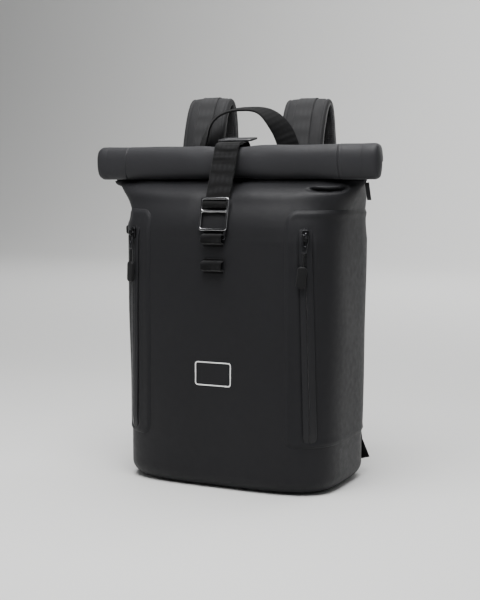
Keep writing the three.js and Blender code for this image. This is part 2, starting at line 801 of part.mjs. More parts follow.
// Padded back: a sheet on the bag's back that thins towards its edges. Above the shoulder its rows lie on
// the bag's own rings.
function backPanel() {
  const across = [-1, -0.94, -0.8, -0.5, -0.17, 0.17, 0.5, 0.8, 0.94, 1];
  const plain = [0, 0.03, 0.1, 0.4, 0.7].map((share) => mix(padBottom, padTop, share));
  const upper = wallHeights().filter((z) => z >= shoulderHeight && z < padTop - padEdge);
  const rows = [...plain, ...upper, padTop];
  const grid = (outer) => rows.map((z) => across.map((side) => {
    const edge = Math.abs(side) === 1 || z === padBottom || z === padTop;
    const lift = outer ? (edge ? padEdge : padThickness) : 0;
    return skin(backAngle(side * padWidth / 2, z), z, skinGap + lift);
  }));
  return sheet(grid(true), grid(false));
}

const shoulderBack = backReach + skinGap + padThickness + strapBow;

// Middle line of the shoulder strap with its width and the direction out of its face
function shoulderStations() {
  const place = (row) => vec(shoulderX + shoulderDrift * row.drift, mix(archFront, shoulderBack, row.out),
    mix(shoulderEnd, shoulderCrown, row.up));
  return shoulderRoute.map((row, i) => {
    const before = place(shoulderRoute[Math.max(i - 1, 0)]);
    const after = place(shoulderRoute[Math.min(i + 1, shoulderRoute.length - 1)]);
    const run = after.sub(before).normalize();
    const out = vec(0, -run.z, run.y).normalize();
    const width = mix(shoulderWidth, shoulderEndWidth, row.taper);
    return { at: place(row), out, width, thickness: shoulderThickness * (1 - 0.2 * row.taper) };
  });
}

// Cross-section of a padded strap: a flat oval with soft edges
const padSection = [[-0.5, -0.25], [-0.44, -0.5], [0.44, -0.5], [0.5, -0.25], [0.5, 0.25], [0.44, 0.5],
  [-0.44, 0.5], [-0.5, 0.25]];
const bandSection = [[-0.5, -0.5], [0.5, -0.5], [0.5, 0.5], [-0.5, 0.5]];

function strapLoft(stations, outline, hand) {
  const rings = stations.map((row) => outline.map(([across, through]) => {
    const p = row.at.clone().addScaledVector(row.out, through * row.thickness + row.lift);
    p.x += across * row.width;
    return vec(hand * p.x, p.y, p.z);
  }));
  return loft(rings, outline.map(([a, b]) => new THREE.Vector2(a, b)));
}

function shoulderStrap(hand, core) {
  const stations = shoulderStations().map((row) => ({ ...row, lift: 0 }));
  return cut(strapLoft(stations, padSection, hand), core);
}

// Webbing band sewn down the middle of the strap's outer face
function strapBand(hand, core) {
  const stations = shoulderStations().map((row) => ({ ...row, width: bandWidth, thickness: bandSheet,
    lift: row.thickness / 2 + gap + bandSheet / 2 }));
  return cut(strapLoft(stations, bandSection, hand), core);
}

// Frame along the line from the strap's end to the anchor: across, out of the face, and down the line
function tailFrame(hand) {
  const stations = shoulderStations();
  const end = stations[stations.length - 1];
  const target = skin(backAngle(anchorX, anchorHeight), anchorHeight, anchorReach);
  const start = vec(hand * end.at.x, end.at.y, end.at.z);
  const stop = vec(hand * target.x, target.y, target.z);
  const down = stop.clone().sub(start).normalize();
  const across = down.clone().cross(vec(0, 1, 0)).normalize();
  const out = across.clone().cross(down);
  const holder = new THREE.Group();
  holder.position.copy(start);
  holder.quaternion.setFromRotationMatrix(new THREE.Matrix4().makeBasis(across, down, out));
  return { holder, length: start.distanceTo(stop) };
}

const adjusterStart = shoulderThickness / 2 + gap;

// Ladder adjuster: frame with two slots at the strap's lower end
function strapAdjuster() {
  const shape = roundedRectangle(adjusterWidth, adjusterLength, adjusterCorner);
  const inside = bandWidth / 2 + gap;
  const reach = adjusterLength / 2 - adjusterRail;
  shape.holes.push(hole([-inside, -reach], [inside, -adjusterBar / 2]));
  shape.holes.push(hole([-inside, adjusterBar / 2], [inside, reach]));
  return plate(shape, adjusterThickness).translate(0, adjusterStart + adjusterLength / 2, 0);
}

function lowerWebbing(length) {
  const start = adjusterStart + adjusterLength + gap;
  const run = length - start;
  return new THREE.BoxGeometry(lowerWidth, run, webbing).translate(0, start + run / 2, 0);
}

// Webbing tab from the bag's lower corner to the webbing, trimmed by the bag
function anchorTab(frame, core) {
  const shape = new THREE.Shape();
  const w = lowerWidth / 2;
  shape.moveTo(-w, frame.length + gap);
  shape.lineTo(w, frame.length + gap);
  shape.lineTo(w * 1.6, frame.length + tabLength);
  shape.lineTo(-w * 1.6, frame.length + tabLength);
  shape.closePath();
  const tab = plate(shape, tabThickness);
  frame.holder.updateMatrix();
  return cut(tab.applyMatrix4(frame.holder.matrix), core);
}

// Webbing arch whose feet stand on the bag's back behind the roll. It turns as it rises.
function grabHandle(core) {
  const steps = 26;
  const foot = mouthHeight - closingHeight * 0.12;
  const rings = [];
  for (let i = 0; i <= steps; i += 1) {
    const angle = Math.PI * (i / steps);
    const c = Math.cos(angle);
    const s = Math.sin(angle);
    const x = handleHalfSpan * Math.sign(c) * Math.abs(c) ** 0.75;
    const z = mix(foot, handleCrown, s ** 0.85);
    const outward = vec(c / handleHalfSpan, 0, s / (handleCrown - foot)).normalize();
    const turn = rad(mix(handleFootTurn, handleTopTurn, follow(handleRoute, 'rise', 'turn', s)));
    const wide = outward.clone().multiplyScalar(Math.cos(turn)).add(vec(0, Math.sin(turn), 0));
    const run = outward.clone().cross(vec(0, 1, 0));
    const thin = wide.clone().cross(run).normalize();
    const middle = vec(x, handleFront - handleForward * follow(handleRoute, 'rise', 'forward', s), z);
    rings.push(bandSection.map(([a, b]) => middle.clone().addScaledVector(wide, a * handleWidth)
      .addScaledVector(thin, b * handleThickness)));
  }
  return cut(loft(rings, bandSection.map(([a, b]) => new THREE.Vector2(a, b))), core);
}

// Webbing tab behind the mouth's right end. It slants outwards as it hangs.
function sideTab(core) {
  const w = sideTabWidth / 2;
  const shape = new THREE.Shape();
  shape.moveTo(-w * 1.5, 0);
  shape.lineTo(-w * 0.3, -sideTabLength);
  shape.lineTo(w * 1.5, -sideTabLength);
  shape.lineTo(w * 0.3, 0);
  shape.closePath();
  const root = skin(backAngle(sideTabX - w * 1.2, sideTabHeight), sideTabHeight, 0);
  const tab = plate(shape, tabThickness).rotateX(Math.PI / 2);
  return cut(tab.translate(sideTabX, root.y, sideTabHeight), core);
}

// Small webbing loop on the left panel, level with the zip's top
function sideLoop() {
  const width = sideLoopReach + sideLoopRoot;
  const outer = roundedRectangle(width, sideLoopLength, sideLoopCorner);
  const reach = sideLoopLength / 2 - sideLoopEnd;
  outer.holes.push(hole([sideLoopWire - width / 2, -reach], [width / 2 - sideLoopRoot, reach]));
  const ring = plate(outer, tabThickness).translate(width / 2, 0, 0).rotateX(Math.PI / 2).rotateY(Math.PI);
  const root = skin(Math.PI + rad(12), sideLoopHeight, skinGap + panelSheet + skinGap);
  return ring.translate(root.x, root.y, root.z);
}

function material(color, roughness, metalness) {
  return new THREE.MeshStandardMaterial({ color, roughness, metalness });
}

const coated = material(0x3b3b3e, 0.6, 0);
const panelCloth = material(0x38383b, 0.55, 0);
const strapCloth = material(0x2a2a2c, 0.85, 0);
const mesh3d = material(0x1d1d1f, 0.95, 0);
const gunmetal = material(0x6d6e72, 0.3, 0.9);
const blackMetal = material(0x222325, 0.4, 0.8);
const rubber = material(0x262628, 0.7, 0);
const plastic = material(0x1b1b1d, 0.5, 0);

const group = new THREE.Group();

function place(name, geometry, finish, parent = group) {
  const piece = new THREE.Mesh(geometry, finish);
  piece.name = name;
  parent.add(piece);
  return piece;
}

const core = bagCore();

place('body_shell', bodyShell(), coated);
place('rolled_top', rolledTop(), coated);
place('closing_strap', ribbon(closingStrapPath(), webbing, strapWidth), strapCloth);

const glide = place('strap_slider', strapSlider(), blackMetal);
const glideLift = gap * 4 + webbing * 2.5 + glideThickness / 2;
glide.position.set(0, rollCentreY + glideSetback, rollCentreZ + rollHeight / 2 + glideLift);

const buckle = place('hook_buckle', hookBuckle(), gunmetal);
const buckleMiddle = bucklePoint(buckleHeight / 2, buckleThickness / 2);
buckle.position.set(0, buckleMiddle[0], buckleMiddle[1]);
buckle.rotation.x = Math.PI / 2 - rad(buckleLean);

place('webbing_loop_upper', webbingLoop(loopUpperBase), strapCloth);
place('webbing_loop_lower', webbingLoop(loopUpperBase - loopSpacing), strapCloth);
place('back_panel', backPanel(), mesh3d);
place('grab_handle', grabHandle(core), strapCloth);
place('side_tab', sideTab(core), strapCloth);
place('side_loop', sideLoop(), strapCloth);

for (const [label, hand] of [['right', 1], ['left', -1]]) {
  place(`pocket_panel_${label}`, pocketPanel(hand), panelCloth);
  place(`zip_tape_${label}`, zipTape(hand), panelCloth);
  const onZip = zipFrame(hand);
  place(`zip_slider_${label}`, zipSlider(), blackMetal, onZip);
  place(`zip_pull_${label}`, zipPull(), gunmetal, onZip);
  place(`pull_grip_${label}`, pullGrip(), rubber, onZip);
  group.add(onZip);
  place(`shoulder_strap_${label}`, shoulderStrap(hand, core), strapCloth);
  place(`strap_webbing_${label}`, strapBand(hand, core), strapCloth);
  const tail = tailFrame(hand);
  place(`strap_adjuster_${label}`, strapAdjuster(), plastic, tail.holder);
  place(`lower_webbing_${label}`, lowerWebbing(tail.length), strapCloth, tail.holder);
  group.add(tail.holder);
  place(`anchor_tab_${label}`, anchorTab(tail, core), strapCloth);
}

export default group;
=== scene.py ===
import math
import bmesh
import bpy
import numpy as np
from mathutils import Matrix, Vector

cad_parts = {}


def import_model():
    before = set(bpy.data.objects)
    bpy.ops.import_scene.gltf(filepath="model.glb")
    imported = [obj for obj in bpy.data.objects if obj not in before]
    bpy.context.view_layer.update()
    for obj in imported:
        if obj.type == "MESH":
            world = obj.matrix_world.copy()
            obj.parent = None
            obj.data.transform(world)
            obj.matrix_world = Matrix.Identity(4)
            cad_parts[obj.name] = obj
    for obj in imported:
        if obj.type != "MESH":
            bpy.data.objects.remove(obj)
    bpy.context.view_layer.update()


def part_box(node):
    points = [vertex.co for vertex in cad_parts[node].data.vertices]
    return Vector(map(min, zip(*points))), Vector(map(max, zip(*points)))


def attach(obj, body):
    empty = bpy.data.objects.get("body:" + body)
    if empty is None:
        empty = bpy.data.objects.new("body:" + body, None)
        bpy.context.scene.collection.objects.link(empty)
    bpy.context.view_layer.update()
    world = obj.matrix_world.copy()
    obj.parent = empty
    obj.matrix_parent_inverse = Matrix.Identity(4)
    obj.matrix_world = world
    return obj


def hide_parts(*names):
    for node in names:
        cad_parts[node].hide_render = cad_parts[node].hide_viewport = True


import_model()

# The camera stands to the right of the bag's front, at about the height of its closing buckle, and looks
# slightly down. The lens fills the portrait frame with the bag from its base to the tops of its straps.
MM = 0.001
CAMERA_PLACE = Vector((694.4, -1444.9, 390.8)) * MM
CAMERA_AIM = Vector((-10.3, 0.0, 236.0)) * MM
LENS = 71.94
SENSOR = 36.0


def in_scene(name, data):
    thing = bpy.data.objects.new(name, data)
    bpy.context.scene.collection.objects.link(thing)
    return thing


camera = in_scene("camera", bpy.data.cameras.new("camera"))
camera.data.sensor_fit = "VERTICAL"
camera.data.sensor_height = SENSOR
camera.data.lens = LENS
camera.data.clip_end = 100.0
camera.location = CAMERA_PLACE
camera.rotation_euler = (CAMERA_AIM - CAMERA_PLACE).to_track_quat("-Z", "Y").to_euler()
bpy.context.scene.camera = camera

# The stage is a pale seamless sweep: a floor that curves up into a wall far behind the bag.
# It is lit by soft panels: one above the bag's front, a wide one at the ceiling, a weak one on each side,
# one behind it that draws its edge, and one that washes the wall.
SWEEP_HALF_WIDTH = 9.0
SWEEP_FRONT = -6.0
SWEEP_BEND = 4.0
SWEEP_RADIUS = 2.0
SWEEP_HEIGHT = 5.0
FLOOR_DROP = 0.0003


def node_of(tree, kind, **settings):
    node = tree.nodes.new(kind)
    for key, value in settings.items():
        setattr(node, key, value)
    return node


def plain_material(name, color, roughness, metallic=0.0):
    material = bpy.data.materials.new(name)
    material.use_nodes = True
    shader = material.node_tree.nodes["Principled BSDF"]
    shader.inputs["Base Color"].default_value = (*color, 1.0)
    shader.inputs["Roughness"].default_value = roughness
    shader.inputs["Metallic"].default_value = metallic
    return material, shader


def linked(name, points, faces, scale=MM):
    mesh = bpy.data.meshes.new(name)
    mesh.from_pydata((np.asarray(points, float) * scale).tolist(), [], faces)
    mesh.update()
    return in_scene(name, mesh)


def smooth_shaded(piece):
    piece.data.polygons.foreach_set("use_smooth", [True] * len(piece.data.polygons))
    return piece


sweep_line = [(SWEEP_FRONT, -FLOOR_DROP), (SWEEP_BEND, -FLOOR_DROP)]
for step in range(1, 13):
    angle = math.radians(90.0 * step / 12)
    sweep_line.append((SWEEP_BEND + SWEEP_RADIUS * math.sin(angle),
                       SWEEP_RADIUS * (1 - math.cos(angle)) - FLOOR_DROP))
sweep_line.append((SWEEP_BEND + SWEEP_RADIUS, SWEEP_HEIGHT))
sweep_points = [(x, y, z) for y, z in sweep_line for x in (-SWEEP_HALF_WIDTH, SWEEP_HALF_WIDTH)]
sweep_faces = [(2 * i, 2 * i + 1, 2 * i + 3, 2 * i + 2) for i in range(len(sweep_line) - 1)]
sweep = smooth_shaded(linked("sweep", sweep_points, sweep_faces, scale=1.0))
sweep_material, sweep_shader = plain_material("pale sweep", (0.66, 0.66, 0.65), 0.85)
sweep.data.materials.append(sweep_material)

LIGHTS = [
    # name, place, aim, side in metres, power in watts
    ("front overhead panel", (0.1, -0.5, 1.25), (0.0, -0.05, 0.4), 0.8, 26.0),
    ("ceiling panel", (0.0, 1.2, 4.4), (0.0, 1.0, 0.0), 4.0, 200.0),
    ("left panel", (-1.9, -1.7, 1.4), (0.0, 0.0, 0.25), 1.4, 4.0),
    ("right panel", (2.3, -0.6, 1.2), (0.0, 0.0, 0.3), 1.2, 2.0),
    ("edge panel", (0.9, 1.9, 1.2), (0.0, 0.0, 0.3), 0.9, 7.0),
    ("wall panel", (0.0, 2.6, 3.2), (0.0, 6.0, 1.2), 2.4, 170.0),
]
for name, place, aim, side, power in LIGHTS:
    light = bpy.data.lights.new(name, "AREA")
    light.shape = "SQUARE"
    light.size = side
    light.energy = power
    lamp = in_scene(name, light)
    lamp.location = place
    lamp.rotation_euler = (Vector(aim) - Vector(place)).to_track_quat("-Z", "Y").to_euler()
world = bpy.data.worlds.new("soft room")
world.use_nodes = True
background = world.node_tree.nodes["Background"]
background.inputs["Color"].default_value = (0.9, 0.92, 0.95, 1.0)
background.inputs["Strength"].default_value = 0.17
bpy.context.scene.world = world

# The bag is a tube of coated cloth with a welded base. Its walls lean together from the shoulder to a flat
# mouth under the roll, where the cloth puffs on the left and is caught in a short crease on the right.
low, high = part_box("body_shell")
BASE_RADIUS = 20.0
SHOULDER = 320.0
MOUTH = high[2] / MM
BODY_HALF = 150.0
WIDENING = 0.02
FRONT = -low[1] / MM
BACK = high[1] / MM
MOUTH_HALF = high[0] / MM
MOUTH_MIDDLE = -33.0
MOUTH_DEPTH = 10.0
SQUARENESS = {"front": 4.0, "back": 5.0, "mouth": 3.0}
WALL = 2.0
CLOSING = np.array([
    # rise, side, front, back
    (0.0, 0.0, 0.0, 0.0),
    (0.26, 0.02, 0.025, 0.04),
    (0.46, 0.12, 0.1, 0.12),
    (0.63, 0.27, 0.24, 0.26),
    (0.76, 0.46, 0.42, 0.43),
    (0.855, 0.66, 0.66, 0.63),
    (0.91, 0.79, 0.83, 0.79),
    (0.95, 0.89, 0.95, 0.92),
    (1.0, 1.0, 1.0, 1.0),
])


def follow(rows, at):
    """Smooth curve through table rows, read at the first column. Returns the other columns."""
    keys = rows[:, 0]
    values = rows[:, 1:]
    slopes = np.empty_like(values)
    for i in range(len(rows)):
        a, b = max(i - 1, 0), min(i + 1, len(rows) - 1)
        slopes[i] = (values[b] - values[a]) / (keys[b] - keys[a])
    at = np.clip(np.asarray(at, float), keys[0], keys[-1])
    i = np.clip(np.searchsorted(keys, at, side="left") - 1, 0, len(rows) - 2)
    span = keys[i + 1] - keys[i]
    s = ((at - keys[i]) / span)[..., None]
    rest = 1 - s
    span = span[..., None]
    return (values[i] * rest**2 * (1 + 2 * s) + values[i + 1] * s**2 * (3 - 2 * s)
            + span * s * rest * (slopes[i] * rest - slopes[i + 1] * s))


def lerp(a, b, share):
    return a + (b - a) * share


def section(z):
    z = np.asarray(z, float)
    rise = np.clip((z - SHOULDER) / (MOUTH - SHOULDER), 0, 1)
    side, front, back = np.moveaxis(follow(CLOSING, rise), -1, 0)
    tuck_z = np.clip(BASE_RADIUS - z, 0, BASE_RADIUS)
    tuck = BASE_RADIUS - np.sqrt(np.maximum(BASE_RADIUS**2 - tuck_z**2, 0))
    plain = BODY_HALF * (1 + WIDENING * (np.minimum(z, SHOULDER) / SHOULDER - 0.5))
    return {
        "side": lerp(plain, MOUTH_HALF, side) - tuck,
        "front": lerp(-FRONT, MOUTH_MIDDLE - MOUTH_DEPTH / 2, front) + tuck,
        "back": lerp(BACK, MOUTH_MIDDLE + MOUTH_DEPTH / 2, back) - tuck,
        "middle": lerp(0.0, MOUTH_MIDDLE, front),
        "front_power": lerp(SQUARENESS["front"], SQUARENESS["mouth"], rise),
        "back_power": lerp(SQUARENESS["back"], SQUARENESS["mouth"], rise),
    }


def bare_skin(t, z):
    s = section(z)
    c, n = np.cos(t), np.sin(t)
    power = np.where(n < 0, s["front_power"], s["back_power"])
    reach = np.where(n < 0, s["middle"] - s["front"], s["back"] - s["middle"])
    x = s["side"] * np.sign(c) * np.abs(c) ** (2 / power)
    y = s["middle"] + reach * np.sign(n) * np.abs(n) ** (2 / power)
    return np.stack([x, y, np.broadcast_to(z, np.shape(x)) + 0.0], -1)


def unit(vectors):
    return vectors / np.linalg.norm(vectors, axis=-1, keepdims=True)


def skin_normal(t, z):
    step = 0.01
    around = bare_skin(t + step, z) - bare_skin(t - step, z)
    along = bare_skin(t, z + 0.5) - bare_skin(t, z - 0.5)
    return unit(np.cross(around, along))


def off_skin(t, z, lift):
    """Point at a distance from the bag's cloth, as it is without its folds."""
    return bare_skin(t, z) + skin_normal(t, z) * lift


def bump_at(distance, width):
    return np.exp(-((distance / width) ** 2))


def before(value, width):
    """1 well below zero and 0 well above it, with a soft step between."""
    return 1 / (1 + np.exp(value / width))


def line_distance(x, z, points):
    """Distance to a line through chosen (x, z) points, and the share along it."""
    best = np.full(np.shape(x), 1e9)
    share = np.zeros(np.shape(x))
    above = np.zeros(np.shape(x))
    for i in range(len(points) - 1):
        (x0, z0), (x1, z1) = points[i], points[i + 1]
        dx, dz = x1 - x0, z1 - z0
        k = np.clip(((x - x0) * dx + (z - z0) * dz) / (dx * dx + dz * dz), 0, 1)
        gap = np.hypot(x - x0 - k * dx, z - z0 - k * dz)
        nearer = gap < best
        best = np.where(nearer, gap, best)
        share = np.where(nearer, (i + k) / (len(points) - 1), share)
        above = np.where(nearer, np.sign(dx * (z - z0) - dz * (x - x0)), above)
    return best, share, above


CREASE = [(112.0, 386.0), (126.0, 384.2), (140.0, 383.4), (152.0, 384.5), (160.0, 389.0)]
CREASE_DEPTH, CREASE_LIP = 1.6, 0.8
VALLEY = [(-170.0, 383.0), (-156.0, 371.0), (-141.0, 350.0)]
VALLEY_DEPTH, VALLEY_RIDGE = 4.4, 1.8
STRAP_PULL, BUCKLE_SEAT = 1.5, 0.8
ZIP_LINE = 121.0
PUFF_REACH, PUFF_TOP = 16.0, 395.0
PUFF_BELOW, PUFF_ABOVE = 21.0, 4.0
POUCH_LIP, POUCH_CUT = 4.5, 6.5


def relief(t, z):
    """Depth of the cloth's own folds and waves, outwards, in millimetres."""
    x, y, z = np.moveaxis(bare_skin(t, z), -1, 0)
    front = before(y + 20.0, 6.0)
    # Long, low waves, which fade out towards the stiff base.
    calm = np.clip((z - 22.0) / 60.0, 0, 1)
    waves = (0.7 * np.sin(x / 47.0 + 0.6) * np.sin(z / 61.0 + 1.1) + 0.45 * np.sin(x / 23.0 - z / 71.0)
             + 0.35 * np.sin(z / 29.0 + y / 31.0 + 2.0)) * calm
    # The crease is a cut with a lip above it, wider towards its right end.
    gap, share, above = line_distance(x, z, CREASE)
    fade = np.clip(share / 0.18, 0, 1) * np.clip((1.02 - share) / 0.12, 0, 1)
    cut = 1.3 + 1.9 * share
    lip = np.where(above > 0, 1.0, 0.1) * CREASE_LIP * bump_at(gap - 5.5, 4.0)
    crease = front * fade * (lip - CREASE_DEPTH * bump_at(gap, cut))
    # The cloth is drawn in along a valley at the upper left, under the strap and round the buckle.
    gap = line_distance(x, z, VALLEY)[0]
    valley = front * (VALLEY_RIDGE * bump_at(gap - 14.0, 8.0) - VALLEY_DEPTH * bump_at(gap, 6.5))
    puff = 1.8 * front * bump_at(z - 377.0, 9.0) * (0.55 + 0.45 * np.sin(x / 26.0 + 0.5)) * bump_at(x, 140.0)
    pull = -STRAP_PULL * front * bump_at(x + 27.0, 7.0) * bump_at(z - 330.0, 48.0)
    seat = -BUCKLE_SEAT * front * bump_at(x - 22.0, 7.0) * bump_at(z - 340.0, 34.0)
    # It stays flat where the zips and the loops are fixed.
    quiet = 1 - 0.9 * bump_at(np.abs(x) - ZIP_LINE, 20.0) * bump_at(z - 300.0, 70.0) * (y < 0)
    quiet = quiet - 0.9 * bump_at(x, 26.0) * bump_at(z - 325.0, 62.0) * (y < 0)
    return waves * quiet + crease + valley + puff + pull + seat


def fullness(t, z):
    """How far the air in the bag pushes its cloth forwards and sideways below the roll, in millimetres."""
    x, y, z = np.moveaxis(bare_skin(t, z), -1, 0)
    front = before(y + 34.0, 7.0)
    # The puff is held back by the strap in the middle and by the seams at both sides.
    rise = bump_at(z - PUFF_TOP, np.where(z < PUFF_TOP, PUFF_BELOW, PUFF_ABOVE))
    beside_strap = 1 - 0.9 * bump_at(x, 27.0)
    ahead = PUFF_REACH * front * rise * beside_strap * np.clip((176.0 - np.abs(x)) / 46.0, 0, 1)
    gap, share, above = line_distance(x, z, CREASE)
    fade = np.clip(share / 0.2, 0, 1) * np.clip((1.02 - share) / 0.2, 0, 1)
    ahead = ahead + front * fade * (POUCH_LIP * np.where(above > 0, bump_at(gap - 3.2, 2.4), 0)
                                    - POUCH_CUT * bump_at(gap, 1.5 + 1.3 * share))
    # Its sides swell outwards too, lower down on the right than on the left.
    right = 3.4 * bump_at(z - 374.0, np.where(z < 374.0, 22.0, 12.0))
    left = 5.0 * bump_at(z - 405.0, 6.0) - 4.0 * bump_at(z - 388.0, 12.0)
    aside = np.where(x > 0, right, left) * np.clip((np.abs(x) - 120.0) / 30.0, 0, 1)
    return np.stack([aside, -ahead, np.zeros(np.shape(x))], -1)


def skin(t, z, lift=0.0):
    return bare_skin(t, z) + fullness(t, z) + skin_normal(t, z) * (relief(t, z) + lift)[..., None]


def angle_at(x, z, face):
    """The bag's angle at x and z, from its right side round its front or its back."""
    s = section(z)
    x = np.asarray(x, float)
    return np.arccos(np.sign(x) * np.minimum(np.abs(x) / s["side"], 1) ** (s[face + "_power"] / 2))


def front_angle(x, z):
    return -angle_at(x, z, "front")


def back_angle(x, z):
    return angle_at(x, z, "back")


def grid_faces(rows, columns, wrap=False, start=0):
    faces = []
    last = columns if wrap else columns - 1
    for r in range(rows - 1):
        for c in range(last):
            d = (c + 1) % columns
            a = start + r * columns
            faces.append((a + c, a + d, a + columns + d, a + columns + c))
    return faces


def set_uv(piece, uv):
    """Writes one UV pair per vertex, in metres along the cloth."""
    layer = piece.data.uv_layers.new(name="cloth")
    loops = np.empty(len(piece.data.loops), int)
    piece.data.loops.foreach_get("vertex_index", loops)
    layer.data.foreach_set("uv", (np.asarray(uv, float)[loops] * MM).ravel())


def coords(tree, source="Object", scale=(1.0, 1.0, 1.0)):
    place = node_of(tree, "ShaderNodeTexCoord")
    mapping = node_of(tree, "ShaderNodeMapping")
    mapping.inputs["Scale"].default_value = scale
    tree.links.new(place.outputs[source], mapping.inputs["Vector"])
    return mapping.outputs["Vector"]


def noise(tree, vector, scale, detail=3.0, roughness=0.5):
    node = node_of(tree, "ShaderNodeTexNoise")
    node.inputs["Scale"].default_value = scale
    node.inputs["Detail"].default_value = detail
    node.inputs["Roughness"].default_value = roughness
    tree.links.new(vector, node.inputs["Vector"])
    return node.outputs["Fac"]


def math_of(tree, operation, a, b=None):
    node = node_of(tree, "ShaderNodeMath", operation=operation)
    for socket, value in zip(node.inputs, (a, b)):
        if value is None:
            continue
        if isinstance(value, (int, float)):
            socket.default_value = value
        else:
            tree.links.new(value, socket)
    return node.outputs[0]


def ranged(tree, value, low_in, high_in, low_out, high_out):
    node = node_of(tree, "ShaderNodeMapRange")
    for key, number in zip(("From Min", "From Max", "To Min", "To Max"), (low_in, high_in, low_out, high_out)):
        node.inputs[key].default_value = number
    tree.links.new(value, node.inputs["Value"])
    return node.outputs["Result"]


def tinted(tree, shader, color, amount, factor):
    """Base colour that a factor makes darker and lighter by a share."""
    mix = node_of(tree, "ShaderNodeMix", data_type="RGBA")
    mix.inputs["A"].default_value = (*[c * (1 - amount) for c in color], 1.0)
    mix.inputs["B"].default_value = (*[c * (1 + amount) for c in color], 1.0)
    tree.links.new(factor, mix.inputs["Factor"])
    tree.links.new(mix.outputs["Result"], shader.inputs["Base Color"])


def bumped(tree, shader, height, distance):
    bump = node_of(tree, "ShaderNodeBump")
    bump.inputs["Strength"].default_value = 1.0
    bump.inputs["Distance"].default_value = distance
    tree.links.new(height, bump.inputs["Height"])
    tree.links.new(bump.outputs["Normal"], shader.inputs["Normal"])


def coated_cloth(name, color, roughness=0.52, grain=0.00012):
    material, shader = plain_material(name, color, roughness)
    tree = material.node_tree
    place = coords(tree)
    blotch = noise(tree, place, 9.0, 4.0)
    fine = noise(tree, place, 1500.0, 2.0, 0.6)
    soft = noise(tree, place, 120.0, 3.0)
    tinted(tree, shader, color, 0.14, blotch)
    tree.links.new(ranged(tree, soft, 0.3, 0.7, roughness - 0.05, roughness + 0.06), shader.inputs["Roughness"])
    height = math_of(tree, "ADD", fine, math_of(tree, "MULTIPLY", soft, 1.5))
    bumped(tree, shader, height, grain)
    shader.inputs["Specular IOR Level"].default_value = 0.18
    shader.inputs["Sheen Weight"].default_value = 0.04
    shader.inputs["Sheen Roughness"].default_value = 0.45
    return material


def dressed(piece, material, slot, *nodes, body="bag"):
    """Gives a piece its material and its place in the frame."""
    piece.data.materials.clear()
    piece.data.materials.append(material)
    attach(piece, body)
    if nodes:
        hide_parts(*nodes)
    return piece


def thickened(piece, name, thickness):
    """Gives a sheet its thickness, inwards from the skin."""
    sheet = piece.modifiers.new(name, "SOLIDIFY")
    sheet.thickness = thickness * MM
    sheet.offset = -1.0


def full_circle(count):
    return np.linspace(0, 2 * np.pi, count, endpoint=False)


cloth_material = coated_cloth("charcoal coated cloth", (0.0102, 0.0102, 0.0115))
AROUND = 288
FLOOR_ROWS = 10
WALL_ROWS = 150
around = full_circle(AROUND)
heights = np.concatenate([
    BASE_RADIUS * (1 - np.cos(np.radians(np.linspace(0, 90, FLOOR_ROWS)))),
    np.linspace(BASE_RADIUS, SHOULDER, 74)[1:],
    np.linspace(SHOULDER, MOUTH, WALL_ROWS - 73)[1:],
])
shell_grid = np.stack([skin(around, np.full(AROUND, z)) for z in heights])
shell_points = np.concatenate([shell_grid.reshape(-1, 3), [(0.0, 0.0, 0.0)]])
shell_faces = grid_faces(len(heights), AROUND, wrap=True)
middle = len(shell_points) - 1
shell_faces += [((c + 1) % AROUND, c, middle) for c in range(AROUND)]
bag = smooth_shaded(linked("bag_shell", shell_points, shell_faces))
thickened(bag, "wall", WALL)
dressed(bag, cloth_material, "coated_cloth", "body_shell")

# The roll is the bag's two mouth edges laid together and wound forward into a flat oval. Its ends are
# bands of doubled cloth sewn on 46 mm in and folded shut, and the closing strap pinches it in the middle.
# The roll has the body's cloth painted about twice as light. This is painted light: the lamp above falls on the roll
# more than on the body.
roll_painted_light_material = coated_cloth("roll cloth painted lighter", (0.0205, 0.0205, 0.0225), 0.5)
GAP = 0.3
SKIN_GAP = 0.6
ROLL_HALF = 198.0
ROLL_DEPTH = 30.0
ROLL_HEIGHT = 45.0
ROLL_SAG = 2.6
ROLL_SHEET = 3.2
ROLL_PITCH = 4.1
ROLL_TURNS = 2.75
ROLL_SQUARENESS = 2.4
ROLL_Y = -47.0
ROLL_Z = 419.5
ROLL_END, END_SHRINK = 10.0, 0.2
SEAM_X, SEAM_DEPTH = 152.0, 1.5
STRAP_HALF = 16.7
PINCH = 2.1


def roll_oval(angle, lift):
    c, s = np.cos(angle), np.sin(angle)
    y = (ROLL_DEPTH / 2 + lift) * np.sign(c) * np.abs(c) ** (2 / ROLL_SQUARENESS)
    sag = np.where(s < 0, ROLL_SAG, 0.0)
    z = (ROLL_HEIGHT / 2 + sag + lift) * np.sign(s) * np.abs(s) ** (2 / ROLL_SQUARENESS)
    return np.stack([ROLL_Y + y, ROLL_Z + z], -1)


def roll_relief(x, angle):
    """Height of the folds and seams on the roll's outer turn."""
    front = np.clip(-np.cos(angle), 0, 1)
    top = np.clip(np.sin(angle), 0, 1)
    # The strap pinches the roll, and the cloth lies in wedges beside it.
    beside = np.abs(x) - STRAP_HALF
    pinch = -PINCH * bump_at(np.maximum(beside, 0), 15.0)
    wedge = 1.5 * front * bump_at(beside - 26.0, 18.0) * np.sin(angle * 2.0 + 0.4)
    # The end bands are sewn on along a curved seam.
    past_seam = np.abs(x) - SEAM_X + 1.3 * np.sin(angle)
    seam = -SEAM_DEPTH * bump_at(past_seam, 0.7)
    second = -0.3 * bump_at(x - SEAM_X - 4.0 + 1.3 * np.sin(angle), 0.7)
    band = 0.35 * np.sign(x) * before(-past_seam, 0.8)
    waves = 0.35 * np.sin(x / 31.0 + 1.0) * np.sin(angle * 1.5) + 0.25 * np.sin(x / 13.0 + angle * 2.0)
    lay = -0.5 * front * bump_at(x + 95.0, 30.0) * top
    return pinch + wedge + seam + second + band + waves + lay


